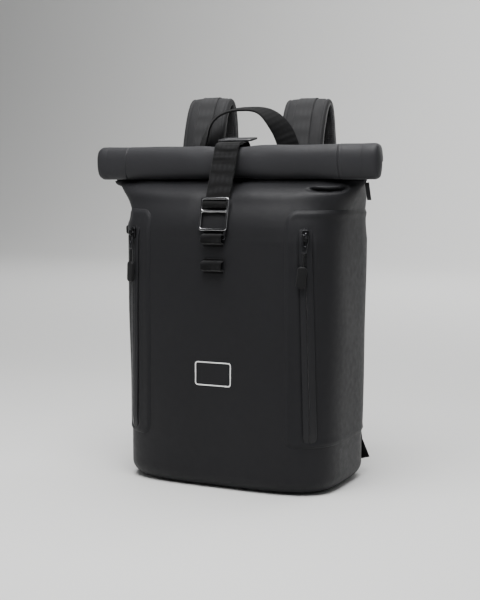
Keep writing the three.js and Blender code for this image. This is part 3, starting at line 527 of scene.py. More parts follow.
def end_scale(x):
    """The roll's ends are softly rounded, so its section gets smaller over the last millimetres."""
    depth = np.clip((np.abs(x) - (ROLL_HALF - ROLL_END)) / ROLL_END, 0, 1)
    return 1 - END_SHRINK * (1 - np.sqrt(np.maximum(1 - depth**2, 0)))


def outward(points, faces):
    """Turns a closed mesh's faces outwards."""
    points = np.asarray(points, float)
    centre = points.mean(axis=0)
    volume = 0.0
    for face in faces:
        for i in range(1, len(face) - 1):
            a, b, c = points[face[0]] - centre, points[face[i]] - centre, points[face[i + 1]] - centre
            volume += np.dot(a, np.cross(b, c))
    return faces if volume > 0 else [tuple(reversed(face)) for face in faces]


def loft(name, rings):
    """Closed body through rings of equal count, with flat ends."""
    rings = np.asarray(rings)
    count = rings.shape[1]
    points = rings.reshape(-1, 3)
    faces = grid_faces(rings.shape[0], count, wrap=True)
    last = (rings.shape[0] - 1) * count
    faces.append(tuple(reversed(range(count))))
    faces.append(tuple(range(last, last + count)))
    return smooth_shaded(linked(name, points, outward(points, faces)))


near_strap = np.linspace(0, 70, 36)
plain_run = np.linspace(70, SEAM_X - 5, 22)[1:]
seam_run = np.linspace(SEAM_X - 5, SEAM_X + 8, 27)[1:]
end_run = np.concatenate([np.linspace(SEAM_X + 8, ROLL_HALF - ROLL_END, 12)[1:],
                          ROLL_HALF - ROLL_END + ROLL_END * np.sin(np.radians(np.linspace(0, 90, 8)))[1:]])
half_run = np.concatenate([near_strap, plain_run, seam_run, end_run])
roll_x = np.concatenate([-half_run[:0:-1], half_run])
TURN_STEPS = 132
turn = np.linspace(0, ROLL_TURNS * 2 * np.pi, TURN_STEPS + 1)
outer_share = np.exp(-((np.maximum(turn - 2 * np.pi, 0) / 1.2) ** 2))
lost = ROLL_PITCH * turn / (2 * np.pi)
centre = np.array([ROLL_Y, ROLL_Z])
back_of_roll = centre + [ROLL_DEPTH / 2 - 5.0, -6.0]
roll_rings = []
for x in roll_x:
    lift = roll_relief(x, turn) * outer_share * np.clip(turn / 0.6, 0, 1)
    outer = roll_oval(turn, lift - lost)
    inner = roll_oval(turn, np.minimum(lift, 0) * 0.8 - lost - ROLL_SHEET)
    outer = centre + (outer - centre) * end_scale(x)
    inner = centre + (inner - centre) * end_scale(x)
    past = np.clip((abs(x) - MOUTH_HALF + 8.0) / 12.0, 0, 1)
    tucked = np.clip((abs(x) - MOUTH_HALF) / 6.0, 0, 1)
    tongue = lerp(MOUTH - 7.0, MOUTH + 3.5, past)
    rest = lerp(MOUTH + GAP, MOUTH + 4.0, past)
    tail = np.array([[1.6, tongue], [1.9, rest], [4.6, rest + 0.4]])
    # The roll starts from the mouth, and past the mouth's ends from its own inside.
    foot = tail + [MOUTH_MIDDLE, 0]
    toe = tail[::-1] * [-1, 1] + [MOUTH_MIDDLE, 0]
    foot = lerp(foot, back_of_roll + [[0, 0], [0.4, 0.4], [0.8, 0.8]], tucked)
    toe = lerp(toe, back_of_roll + [[-0.8, 0.8], [-0.4, 0.4], [-0.2, 0]], tucked)
    ring = np.concatenate([foot, outer, inner[::-1], toe])
    roll_rings.append(np.column_stack([np.full(len(ring), x), ring]))
ring_size = len(roll_rings[0])
roll_points = np.concatenate(roll_rings)
roll_faces = grid_faces(len(roll_x), ring_size, wrap=True)
for start, flip in ((0, False), ((len(roll_x) - 1) * ring_size, True)):
    cap = [(i, 1 + i, ring_size - 2 - i, ring_size - 1 - i) for i in range(TURN_STEPS + 3)]
    roll_faces += [tuple(start + k for k in (face if flip else reversed(face))) for face in cap]
roll = smooth_shaded(linked("roll", roll_points, outward(roll_points, roll_faces)))
dressed(roll, roll_painted_light_material, "coated_cloth", "rolled_top")
END_RUN, END_ROUND = 16.0, 5.5
END_REACH = {1: 7.0, -1: 0.0}
END_SIDES = 96
around_end = full_circle(END_SIDES)
end_steps = [(0.0, -1.5, 1.0), (0.5, 0.0, 1.0), (1.1, 0.12, 1.0), (END_RUN - END_ROUND - 1.6, 0.12, 1.0)]
end_steps += [(END_RUN - 1.6 - END_ROUND * (1 - math.sin(a)), 0.12 - END_ROUND * 0.8 * (1 - math.cos(a)), 1.0)
              for a in np.radians(np.linspace(9, 72, 8))]
end_steps += [(END_RUN - 1.8 + 1.8 * (1 - size**2), end_steps[-1][1] - 0.2, size)
              for size in (0.96, 0.8, 0.6, 0.4, 0.2, 0.04)]
for label, hand in (("right", 1), ("left", -1)):
    rings = []
    for run, lift, size in end_steps:
        x = hand * (ROLL_HALF + END_REACH[hand] * run / END_RUN - END_RUN + run)
        ring = roll_oval(around_end, lift + roll_relief(x, around_end) - ROLL_PITCH * around_end / (2 * np.pi))
        ring = centre + (ring - centre) * size
        rings.append(np.column_stack([np.full(END_SIDES, x), ring]))
    dressed(loft(f"roll_end_{label}", rings), roll_painted_light_material, "coated_cloth")

# The side pockets are smooth panels welded over the front corners and round the sides. Their edge is a
# raised bead with rounded corners, and a second bead follows the slot in which the zip lies.
PANEL_EDGE = 96.0
PANEL_BOTTOM = 62.0
PANEL_TOP = 359.0
PANEL_CORNER = 14.0
PANEL_SHEET = 1.0
PANEL_WRAP = math.radians(25.0)
BEAD_HEIGHT = {1: 0.42, -1: 0.12}
WELD_DEPTH = 1.35
ZIP_TOP, ZIP_BOTTOM = 342.0, 66.0
ZIP_TOP_X, ZIP_BOTTOM_X = 120.0, 126.0
TAPE_HALF = 9.0
panel_material = coated_cloth("smooth panel cloth", (0.0114, 0.0114, 0.0128), 0.56, 0.00008)
panel_material.node_tree.nodes["Principled BSDF"].inputs["Specular IOR Level"].default_value = 0.15


def zip_x(z):
    return lerp(ZIP_BOTTOM_X, ZIP_TOP_X, (z - ZIP_BOTTOM) / (ZIP_TOP - ZIP_BOTTOM))


def slot_distance(x, z):
    """Distance from the edge of the zip's slot, which has round ends."""
    middle = zip_x(z)
    inside = np.clip(z, ZIP_BOTTOM + TAPE_HALF, ZIP_TOP - TAPE_HALF)
    return np.hypot((x - middle) / 0.9, z - inside) - TAPE_HALF


def panel_relief(x, y, z, run, bead_height):
    # Distance from the welded edge, round the corners too.
    side = PANEL_CORNER - run
    rise = PANEL_CORNER - np.minimum(PANEL_TOP - z, z - PANEL_BOTTOM)
    corner = PANEL_CORNER - np.hypot(np.maximum(side, 0), np.maximum(rise, 0))
    straight = np.minimum(run, np.minimum(PANEL_TOP - z, z - PANEL_BOTTOM))
    edge = np.where((side > 0) & (rise > 0), corner, straight)
    # The weld sinks into the bag's cloth, with a bead beside it.
    weld = np.clip(edge / 5.0, 0, 1)
    sunk = WELD_DEPTH * (1 - weld**2 * (3 - 2 * weld))
    bead = bead_height * bump_at(edge - 5.0, 3.2) - 0.2 * bump_at(edge - 12.0, 4.0) - sunk
    # The zip lies in a slot with a lip, and the panel bulges beside the hanging pull.
    slot = np.where(y < -40.0, slot_distance(x, z), 50.0)
    lip = (0.25 * bump_at(slot - 3.0, 2.4) - 0.7 * before(slot, 0.5)) * np.clip((334.0 - z) / 12.0, 0, 1)
    bulge = 1.6 * bump_at(x - 131.5, 2.6) * bump_at(z - 296.0, 24.0) * (y < -40.0)
    return bead + lip + bulge


def panel_grid(hand):
    runs = np.concatenate([np.linspace(0, 14, 21), np.linspace(14, 46, 53)[1:]])
    wrap = np.linspace(0, 1, 34)[1:]
    rows = np.concatenate([np.linspace(0, 0.07, 16), np.linspace(0.07, 0.9, 84)[1:],
                           np.linspace(0.9, 1, 22)[1:]])
    grid = []
    for share in rows:
        run = np.concatenate([runs, np.full(len(wrap), runs[-1])])
        drop = np.where(run < PANEL_CORNER,
                        PANEL_CORNER - np.sqrt(np.maximum(PANEL_CORNER**2 - (PANEL_CORNER - run) ** 2, 0)), 0)
        z = lerp(PANEL_BOTTOM + drop, PANEL_TOP - drop, share)
        angle = front_angle(PANEL_EDGE + run, z)
        last = front_angle(PANEL_EDGE + runs[-1], z)
        angle = np.where(np.arange(len(run)) < len(runs), angle,
                         last + (PANEL_WRAP - last) * np.concatenate([np.zeros(len(runs)), wrap]))
        bare = bare_skin(angle, z)
        real_run = np.concatenate([runs, runs[-1] + 6 + wrap * 130])
        lift = panel_relief(bare[:, 0], bare[:, 1], z, real_run, BEAD_HEIGHT[hand])
        grid.append(skin(angle if hand > 0 else np.pi - angle, z, SKIN_GAP + PANEL_SHEET + lift))
    return np.stack(grid)


def cloth_size(grid):
    """Width, length and area of a cloth given as a grid of points, in metres."""
    across = np.linalg.norm(np.diff(grid, axis=1), axis=2).sum(axis=1)
    along = np.linalg.norm(np.diff(grid, axis=0), axis=2).sum(axis=0)
    down, right = np.diff(grid, axis=0)[:, :-1], np.diff(grid, axis=1)[:-1]
    area = np.linalg.norm(np.cross(down, right), axis=2).sum()
    return across.max() * MM, along.max() * MM, area * MM * MM


for label, hand in (("right", 1), ("left", -1)):
    grid = panel_grid(hand)
    faces = grid_faces(grid.shape[0], grid.shape[1])
    if hand < 0:
        faces = [tuple(reversed(face)) for face in faces]
    panel = smooth_shaded(linked(f"side_panel_{label}", grid.reshape(-1, 3), faces))
    thickened(panel, "sheet", PANEL_SHEET * 0.8)
    dressed(panel, panel_material, "panel_cloth", f"pocket_panel_{label}")
    width, length, area = cloth_size(grid)

# Each pocket closes with a coated zip: two tapes whose lips meet over a fine coil of nylon teeth. The
# tape is welded under the slot, and its slider parks at the top.
TAPE_LIFT = 2.2
TAPE_SHEET = 1.0
TOOTH_PITCH, TOOTH = 1.5, (1.5, 0.9, 0.8)
tape_material = coated_cloth("coated zip tape", (0.0125, 0.0125, 0.014), 0.42, 0.00006)
tooth_material, _ = plain_material("nylon teeth", (0.02, 0.02, 0.021), 0.35)


def front_point(x, z, lift, hand):
    """Point on the bag's front at x, on the right or the left, lifted off the cloth."""
    angle = front_angle(x, z)
    return skin(angle if hand > 0 else np.pi - angle, z, lift)


def finished_mesh(piece):
    """The mesh that a piece's modifiers or curve make."""
    evaluated = piece.evaluated_get(bpy.context.evaluated_depsgraph_get())
    return bpy.data.meshes.new_from_object(evaluated)


def row_of_pieces(name, host_points, size, pitch, material):
    """Small rounded blocks set at an even pitch along a line, made by Geometry Nodes: teeth or stitches."""
    mesh = bpy.data.meshes.new(name)
    edges = [(i, i + 1) for i in range(len(host_points) - 1)]
    mesh.from_pydata((np.asarray(host_points) * MM).tolist(), edges, [])
    host = in_scene(name, mesh)
    tree = bpy.data.node_groups.new(name + " pattern", "GeometryNodeTree")
    tree.interface.new_socket("Geometry", in_out="INPUT", socket_type="NodeSocketGeometry")
    pitch_in = tree.interface.new_socket("Pitch", in_out="INPUT", socket_type="NodeSocketFloat")
    size_in = tree.interface.new_socket("Size", in_out="INPUT", socket_type="NodeSocketVector")
    tree.interface.new_socket("Geometry", in_out="OUTPUT", socket_type="NodeSocketGeometry")
    start = node_of(tree, "NodeGroupInput")
    end = node_of(tree, "NodeGroupOutput")
    curve = node_of(tree, "GeometryNodeMeshToCurve")
    spaced = node_of(tree, "GeometryNodeResampleCurve", mode="LENGTH")
    block = node_of(tree, "GeometryNodeMeshUVSphere")
    block.inputs["Segments"].default_value = 6
    block.inputs["Rings"].default_value = 4
    block.inputs["Radius"].default_value = 0.5
    turned = node_of(tree, "FunctionNodeAlignRotationToVector", axis="Z")
    along = node_of(tree, "GeometryNodeInputTangent")
    placed = node_of(tree, "GeometryNodeInstanceOnPoints")
    solid = node_of(tree, "GeometryNodeRealizeInstances")
    finish = node_of(tree, "GeometryNodeSetMaterial")
    finish.inputs["Material"].default_value = material
    for giver, output, taker, socket in (
            (start, "Geometry", curve, "Mesh"), (curve, "Curve", spaced, "Curve"), (start, "Pitch", spaced, "Length"),
            (along, "Tangent", turned, "Vector"), (spaced, "Curve", placed, "Points"),
            (block, "Mesh", placed, "Instance"), (turned, "Rotation", placed, "Rotation"),
            (start, "Size", placed, "Scale"), (placed, "Instances", solid, "Geometry"),
            (solid, "Geometry", finish, "Geometry"), (finish, "Geometry", end, "Geometry")):
        tree.links.new(giver.outputs[output], taker.inputs[socket])
    pattern = host.modifiers.new("pattern", "NODES")
    pattern.node_group = tree
    pattern[pitch_in.identifier] = pitch * MM
    pattern[size_in.identifier] = tuple(s * MM for s in size)
    made = finished_mesh(host)
    host.modifiers.remove(pattern)
    bpy.data.objects.remove(host)
    return smooth_shaded(in_scene(name, made))


def mirrored(half):
    """Outline that is the same on both sides, from one half of it, given end to end."""
    return half + [(-x, y) for x, y in reversed(half)]


tape_profile = np.array(mirrored([
    (-1.0, 0.0), (-1.0, 0.75), (-0.93, 1.0), (-0.4, 1.0), (-0.3, 1.25), (-0.2, 1.35), (-0.1, 1.25),
    (-0.05, 0.9), (-0.035, 0.3),
]))
for label, hand in (("right", 1), ("left", -1)):
    end_angle = np.radians(np.linspace(0, 90, 9))
    lower = ZIP_BOTTOM + TAPE_HALF * (1 - np.cos(end_angle))
    upper = ZIP_TOP - TAPE_HALF * (1 - np.cos(end_angle[::-1]))
    levels = np.concatenate([lower, np.linspace(lower[-1], upper[0], 90)[1:-1], upper])
    rings = []
    for z in levels:
        room = np.minimum(z - ZIP_BOTTOM, ZIP_TOP - z)
        narrow = np.sqrt(np.clip(1 - (np.maximum(TAPE_HALF - room, 0) / TAPE_HALF) ** 2, 0.02, 1))
        across = tape_profile[:, 0] * TAPE_HALF * 0.76 * narrow
        sunk = 2.5 * np.clip(1 - room / 17.0, 0, 1)
        lift = TAPE_LIFT - sunk + tape_profile[:, 1] * TAPE_SHEET
        rings.append(front_point(zip_x(z) + across, np.full(len(across), z), lift, hand))
    dressed(loft(f"zip_tape_cloth_{label}", rings), tape_material, "zip_tape", f"zip_tape_{label}")
    heights_of_teeth = np.linspace(ZIP_BOTTOM + 5, ZIP_TOP - 22, 120)
    teeth_line = front_point(zip_x(heights_of_teeth), heights_of_teeth, TAPE_LIFT + 0.75, hand)
    teeth = row_of_pieces(f"zip_teeth_{label}", teeth_line, TOOTH, TOOTH_PITCH, tooth_material)
    dressed(teeth, tooth_material, "plastic")

# Each zip has a cast slider with a bridge, on which a pressed metal pull turns by its eye. The grip is
# moulded over the pull's end in one piece with its short ribbed neck.
PULL_HEIGHT = 328.5
SLIDER = (9.0, 14.0, 3.0)
BRIDGE_WIDTH, BRIDGE_SPAN, BRIDGE_WIRE = 2.4, 8.0, 1.6
AXIS_LIFT = 4.7
PULL_PLATE, PULL_WIDTH, PULL_LENGTH, PULL_RAIL, PULL_EYE = 1.8, 9.0, 22.0, 1.8, 13.0
NECK_WIDTH, NECK_LENGTH = 3.0, 16.0
PULL_TILT = {"right": math.radians(5.5), "left": math.radians(3.0)}
GRIP = (12.0, 27.0, 5.0)
SHARP_EDGE = math.radians(40.0)


def metal(name, color, roughness, scratch=0.000006):
    material, shader = plain_material(name, color, roughness, metallic=1.0)
    tree = material.node_tree
    place = coords(tree)
    worn = noise(tree, place, 260.0, 4.0, 0.6)
    tinted(tree, shader, color, 0.1, worn)
    tree.links.new(ranged(tree, worn, 0.3, 0.7, roughness * 0.9, roughness * 1.15), shader.inputs["Roughness"])
    bumped(tree, shader, noise(tree, place, 1400.0, 2.0), scratch)
    return material


plated_zinc_material = metal("black plated zinc", (0.06, 0.06, 0.064), 0.22)
# Brighter metal for the buckle's rounded edges and crossbar: a painted highlight.
edge_highlight_metal_material = metal("edge metal with painted highlight", (0.42, 0.42, 0.43), 0.16)
lacquered_material = metal("black lacquered metal", (0.035, 0.035, 0.037), 0.3)
rubber_material = coated_cloth("moulded rubber", (0.006, 0.006, 0.0064), 0.6, 0.00005)


def rounded(width, height, radius, steps=6, centre=(0.0, 0.0)):
    """Outline of a rectangle with round corners, counter-clockwise."""
    points = []
    for k, (sx, sy) in enumerate(((1, -1), (1, 1), (-1, 1), (-1, -1))):
        middle = (sx * (width / 2 - radius), sy * (height / 2 - radius))
        for i in range(steps + 1):
            angle = math.radians(-90 + 90 * k + 90 * i / steps)
            points.append((centre[0] + middle[0] + radius * math.cos(angle),
                           centre[1] + middle[1] + radius * math.sin(angle)))
    return points


def placed_plate(name, outline, holes, thickness, edge, place):
    """Flat plate with rounded edges, cut from an outline with holes, then set in place by a function."""
    curve = bpy.data.curves.new(name, "CURVE")
    curve.dimensions = "2D"
    curve.fill_mode = "BOTH"
    curve.extrude = thickness / 2 - edge
    curve.bevel_depth = edge
    curve.bevel_resolution = 3
    curve.offset = -edge
    for line in [outline, *holes]:
        spline = curve.splines.new("POLY")
        spline.points.add(len(line) - 1)
        spline.points.foreach_set("co", [v for x, y in line for v in (x, y, 0.0, 1.0)])
        spline.use_cyclic_u = True
    holder = in_scene(name, curve)
    mesh = finished_mesh(holder)
    bpy.data.objects.remove(holder)
    co = np.empty(len(mesh.vertices) * 3)
    mesh.vertices.foreach_get("co", co)
    co = place(co.reshape(-1, 3)) * MM
    mesh.vertices.foreach_set("co", co.ravel())
    tidy = bmesh.new()
    tidy.from_mesh(mesh)
    bmesh.ops.remove_doubles(tidy, verts=tidy.verts, dist=1e-7)
    bmesh.ops.recalc_face_normals(tidy, faces=tidy.faces)
    tidy.to_mesh(mesh)
    tidy.free()
    piece = smooth_shaded(in_scene(name, mesh))
    mesh.set_sharp_from_angle(angle=SHARP_EDGE)
    return piece


def in_frame(origin, side, up, out):
    """Sets points of a piece's own plane, (side, up, out), in the bag's space."""
    basis = np.array([side, up, out])
    return lambda points: np.asarray(points) @ basis + np.asarray(origin)


def zip_frame(hand):
    angle = front_angle(zip_x(PULL_HEIGHT), PULL_HEIGHT)
    bare = bare_skin(angle, PULL_HEIGHT)
    foot = off_skin(angle, PULL_HEIGHT, TAPE_LIFT + TAPE_SHEET + SKIN_GAP)
    out = unit(np.array([hand * (foot[0] - bare[0]), foot[1] - bare[1], 0.0]))
    up = np.array([0.0, 0.0, 1.0])
    return (hand * foot[0], foot[1], PULL_HEIGHT), np.cross(up, out), up, out


def painted_edge_highlights(piece, material, out):
    """Paints a highlight on the casting's rounded edges: faces that do not face out get the brighter metal."""
    piece.data.materials.append(material)
    for polygon in piece.data.polygons:
        if abs(np.dot(polygon.normal, out)) < 0.93:
            polygon.material_index = 1


slider_outline = mirrored([(2.9, -7.0), (3.6, -6.4), (4.0, -4.5), (4.5, 1.5), (4.5, 4.6), (3.4, 6.5), (1.6, 7.0)])
half_pull = PULL_WIDTH / 2
pull_outline = mirrored([
    (NECK_WIDTH - 0.4, -PULL_LENGTH), (NECK_WIDTH + 0.2, -PULL_LENGTH + 1.6), (half_pull - 0.7, -PULL_EYE * 0.85),
    (half_pull, -PULL_EYE * 0.5), (half_pull, 0.3), (half_pull - 0.6, 0.9),
])
eye = half_pull - PULL_RAIL
pull_eye = mirrored([(eye, -0.9), (eye, -PULL_EYE * 0.6), (eye * 0.75, -PULL_EYE * 0.88), (eye * 0.3, -PULL_EYE)])
crown = AXIS_LIFT + PULL_PLATE + BRIDGE_WIRE
half_bridge = BRIDGE_SPAN / 2
bridge_outline = mirrored([
    (half_bridge, SLIDER[2] - 0.6), (half_bridge, crown - 2.2), (half_bridge - 0.7, crown - 0.7),
    (half_bridge - 2.2, crown),
])
bridge_hole = mirrored([
    (half_bridge - 1.6, SLIDER[2] + 0.1), (half_bridge - 1.6, crown - 2.3), (half_bridge - 2.3, crown - 1.6),
])
NECK_SIDES = 14
for label, hand in (("right", 1), ("left", -1)):
    origin, side, up, out = zip_frame(hand)
    place = in_frame(origin, side, up, out)
    tilt = PULL_TILT[label]
    hang = in_frame(origin, side * math.cos(tilt) - up * math.sin(tilt),
                    up * math.cos(tilt) + side * math.sin(tilt), out)
    body = f"{label}_pull"
    base = placed_plate(f"slider_body_{label}", slider_outline, [], SLIDER[2], 0.7,
                        lambda p, place=place: place(p + (0, 0, SLIDER[2] / 2)))
    dressed(base, lacquered_material, "black_metal", f"zip_slider_{label}")
    bridge = placed_plate(f"slider_bridge_{label}", bridge_outline, [bridge_hole], BRIDGE_WIDTH, 0.5,
                          lambda p, place=place: place(np.column_stack([p[:, 2], p[:, 0], p[:, 1]])))
    dressed(bridge, lacquered_material, "black_metal")
    pull = placed_plate(f"pull_metal_{label}", pull_outline, [pull_eye], PULL_PLATE, 0.5,
                        lambda p, hang=hang: hang(p + (0, 0, AXIS_LIFT)))
    dressed(pull, plated_zinc_material, "gunmetal", f"zip_pull_{label}", body=body)
    neck_low = -PULL_LENGTH - GAP - NECK_LENGTH
    neck_rings = []
    for v in np.concatenate([[0, 0.03, 0.08], np.linspace(0.14, 0.86, 25), [0.92, 1.0]]):
        size = NECK_WIDTH / 2 * (0.82 if v in (0, 1.0) else 1.0) * (1 + 0.05 * math.sin(v * 60.0))
        angle = full_circle(NECK_SIDES)
        down = -PULL_LENGTH - GAP - v * (NECK_LENGTH + 0.8)
        ring = np.column_stack([size * np.cos(angle), np.full(NECK_SIDES, down), AXIS_LIFT + size * np.sin(angle)])
        neck_rings.append(hang(ring))
    neck = loft(f"pull_cord_{label}", neck_rings)
    dressed(neck, rubber_material, "rubber", body=body)
    middle = neck_low - GRIP[1] / 2
    grip = placed_plate(f"grip_{label}", rounded(GRIP[0], GRIP[1], 4.4, 8), [], GRIP[2], 1.9,
                        lambda p, hang=hang, middle=middle: hang(p + (0, middle, AXIS_LIFT)))
    dressed(grip, rubber_material, "rubber", f"pull_grip_{label}", body=body)

# The closing strap is doubled polyester webbing. It is sewn to the bag's back, runs over the roll, turns
# round the buckle's slider bar and comes back up underneath itself.
WEBBING = 1.6
STRAP_ANCHOR = 378.0
GLIDE_SETBACK = 19.0
BUCKLE_BASE, BUCKLE_HEIGHT, BUCKLE_THICKNESS, BUCKLE_RAIL = 332.0, 43.0, 5.0, 3.0
BUCKLE_LEAN = math.radians(11.8)
SLIDER_BAR_DROP, CROSS_BAR_DROP, BAR_SIZE = 9.0, 18.0, 2.5
HOOK_DROP = 11.0
buckle_back = off_skin(front_angle(0.0, BUCKLE_BASE), BUCKLE_BASE, SKIN_GAP)[1] - GAP


THREAD_PITCH = 1.1
WAVES_PER_SCALE = 20.0


def webbing_cloth(name, color, rib=1.25, depth=0.00022, contrast=0.35, wander=1.6, sheen=0.04):
    """Woven webbing: ribs across the strap and fine threads along it, on the strap's own UV map."""
    material, shader = plain_material(name, color, 0.78)
    tree = material.node_tree
    place = coords(tree, "UV")
    bands = []
    for direction, period, distortion, roughly in (("X", rib, wander, 1.2), ("Y", THREAD_PITCH, 0.5, 1.0)):
        band = node_of(tree, "ShaderNodeTexWave", wave_type="BANDS", bands_direction=direction)
        band.inputs["Scale"].default_value = 1000.0 / period / WAVES_PER_SCALE
        band.inputs["Distortion"].default_value = distortion
        band.inputs["Detail"].default_value = 2.0
        band.inputs["Detail Scale"].default_value = roughly
        tree.links.new(place, band.inputs["Vector"])
        bands.append(band.outputs["Fac"])
    weave = math_of(tree, "MULTIPLY", bands[0], ranged(tree, bands[1], 0, 1, 0.55, 1.0))
    fuzz = noise(tree, coords(tree), 900.0, 3.0, 0.7)
    worn = ranged(tree, fuzz, 0.2, 0.8, 0.6, 1.3)
    tinted(tree, shader, color, contrast, math_of(tree, "MULTIPLY", weave, worn))
    bumped(tree, shader, math_of(tree, "ADD", weave, math_of(tree, "MULTIPLY", fuzz, 0.5)), depth)
    shader.inputs["Sheen Weight"].default_value = sheen
    shader.inputs["Sheen Roughness"].default_value = 0.4
    shader.inputs["Specular IOR Level"].default_value = 0.1
    return material


strap_material = webbing_cloth("black webbing", (0.0062, 0.0062, 0.0066), rib=2.4, depth=0.0005, contrast=0.6,
                               wander=4.5, sheen=0.16)


def buckle_point(up, out):
    c, s = math.cos(BUCKLE_LEAN), math.sin(BUCKLE_LEAN)
    return [buckle_back + up * s - out * c, BUCKLE_BASE + up * c + out * s]


def spline_points(points, count):
    """Smooth curve through chosen points, at even steps of its own parameter."""
    points = np.asarray(points, float)
    last = len(points) - 1
    at = np.linspace(0, last, count + 1)
    i = np.minimum(at.astype(int), last - 1)
    w = (at - i)[:, None]
    p0, p1 = points[np.maximum(i - 1, 0)], points[i]
    p2, p3 = points[i + 1], points[np.minimum(i + 2, last)]
    v0, v1 = (p2 - p0) / 2, (p3 - p1) / 2
    return (2 * p1 - 2 * p2 + v0 + v1) * w**3 + (-3 * p1 + 3 * p2 - 2 * v0 - v1) * w**2 + v0 * w + p1


def run_along(points):
    """Length along a line at each of its points."""
    return np.concatenate([[0], np.cumsum(np.linalg.norm(np.diff(points, axis=0), axis=1))])


def even_path(points, step):
    points = np.asarray(points, float)
    runs = run_along(points)
    at = np.linspace(0, runs[-1], max(int(runs[-1] / step), 2) + 1)
    return np.column_stack([np.interp(at, runs, points[:, k]) for k in range(points.shape[1])]), at


web_face = [(-1, -0.3), (-0.985, -0.8), (-0.95, -1), (-0.7, -1), (-0.35, -1), (0, -1), (0.35, -1), (0.7, -1),
            (0.95, -1), (0.985, -0.8), (1, -0.3)]
WEB_PROFILE = np.array(web_face + [(-x, -y) for x, y in web_face])


def webbing_ribbon(name, centres, wides, thins, half_widths, thickness, runs, lift=None):
    """Webbing swept along a path: its width and thickness directions are given at each station."""
    rings, uv = [], []
    for i, centre in enumerate(centres):
        across = WEB_PROFILE[:, 0] * half_widths[i]
        through = WEB_PROFILE[:, 1] * thickness / 2
        extra = 0.0 if lift is None else lift(runs[i], across)
        ring = centre + across[:, None] * wides[i] + (through + extra)[:, None] * thins[i]
        rings.append(ring)
        uv += [(runs[i], a + 0.15 * t) for a, t in zip(across, through)]
    piece = loft(name, rings)
    set_uv(piece, uv)
    return piece


def flat_ribbon(name, path, half_width, thickness, lift=None):
    """Webbing seen edge on: a path of (y, z) points, run across x."""
    path, runs = path
    run = unit(np.gradient(path, axis=0))
    centres = np.column_stack([np.zeros(len(path)), path])
    thins = np.column_stack([np.zeros(len(path)), run[:, 1], -run[:, 0]])
    wides = np.tile([1.0, 0.0, 0.0], (len(path), 1))
    return webbing_ribbon(name, centres, wides, thins, np.full(len(path), half_width), thickness, runs, lift)


wrap = BAR_SIZE * 0.75 + GAP + WEBBING / 2
bar = buckle_point(BUCKLE_HEIGHT - SLIDER_BAR_DROP, BUCKLE_THICKNESS / 2)
outer_lift = GAP * 2 + WEBBING * 1.5
inner_lift = GAP + WEBBING / 2
rail = BUCKLE_HEIGHT - BUCKLE_RAIL / 2
strap_outer = []
for share in (0.0, 0.07):
    z = STRAP_ANCHOR + (MOUTH - SHOULDER) * share
    angle = back_angle(0.0, z)
    strap_outer.append(off_skin(angle, z, SKIN_GAP * (1 + 14 * share) + WEBBING / 2)[1:])
glide_y = ROLL_Y + GLIDE_SETBACK
glide_z = ROLL_Z + ROLL_HEIGHT / 2 + outer_lift
for share in (0.3, 0.65):
    strap_outer.append([lerp(strap_outer[1][0], glide_y, share), lerp(strap_outer[1][1], glide_z, share)])
strap_outer += [[glide_y, glide_z], [lerp(glide_y, ROLL_Y, 0.5), glide_z]]
strap_outer += [list(roll_oval(math.radians(a), outer_lift)) for a in (85, 110, 135, 155)]
behind = -WEBBING / 2 - GAP * 2
doubled = behind - WEBBING - GAP * 2
strap_outer += [buckle_point(rail + 7, behind * 2), buckle_point(rail, behind),
                buckle_point(rail - BUCKLE_RAIL * 0.6, behind)]
strap_inner = [buckle_point(rail - BUCKLE_RAIL, doubled * 0.8), buckle_point(rail + 7, doubled - WEBBING)]
strap_inner += [list(roll_oval(math.radians(a), inner_lift)) for a in (155, 135, 110, 85)]
round_bar = [[bar[0] + wrap * math.cos(math.radians(a)), bar[1] + wrap * math.sin(math.radians(a))]
             for a in range(85, 361, 11)]
strap_path = np.concatenate([spline_points(strap_outer, 160), round_bar, spline_points(strap_inner, 90)])


def strap_wrinkles(run, across):
    """Short ripples across the webbing where it was creased by use."""
    fade = bump_at(run - 118.0, 46.0)
    ripple = 0.2 * math.sin(run / 0.95) + 0.16 * math.sin(run / 1.63 + 1.0)
    return fade * ripple * (0.6 + 0.4 * np.cos(across / 9.0 + run / 11.0))


strap = flat_ribbon("closing_webbing", even_path(strap_path, 0.8), STRAP_HALF, WEBBING, lift=strap_wrinkles)
dressed(strap, strap_material, "webbing", "closing_strap")

# A flat tri-glide of lacquered metal lies on the strap over the roll and keeps its two layers together.
GLIDE = (49.0, 22.0, 2.6)
GLIDE_BAR = 4.0
glide_height = ROLL_Z + ROLL_HEIGHT / 2 + GAP * 4 + WEBBING * 2.5 + GLIDE[2] / 2 + 0.8
inside = STRAP_HALF + GAP
reach = GLIDE[1] / 2 - GLIDE_BAR
slot_middle = (reach + GLIDE_BAR / 2) / 2
glide_slots = [rounded(2 * inside, reach - GLIDE_BAR / 2, 0.8, 3, (0.0, sign * slot_middle)) for sign in (-1, 1)]
GLIDE_LEAN = math.radians(10.0)
lean_c, lean_s = math.cos(GLIDE_LEAN), math.sin(GLIDE_LEAN)
in_glide = in_frame((0.0, ROLL_Y + GLIDE_SETBACK, glide_height), (1.0, 0.0, 0.0), (0.0, lean_c, lean_s),
                    (0.0, -lean_s, lean_c))
glide = placed_plate("tri_glide", rounded(GLIDE[0], GLIDE[1], 3.2), glide_slots, GLIDE[2], 0.8, in_glide)
glide_material = metal("brushed dark metal", (0.10, 0.10, 0.104), 0.42)
dressed(glide, glide_material, "black_metal", "strap_slider")
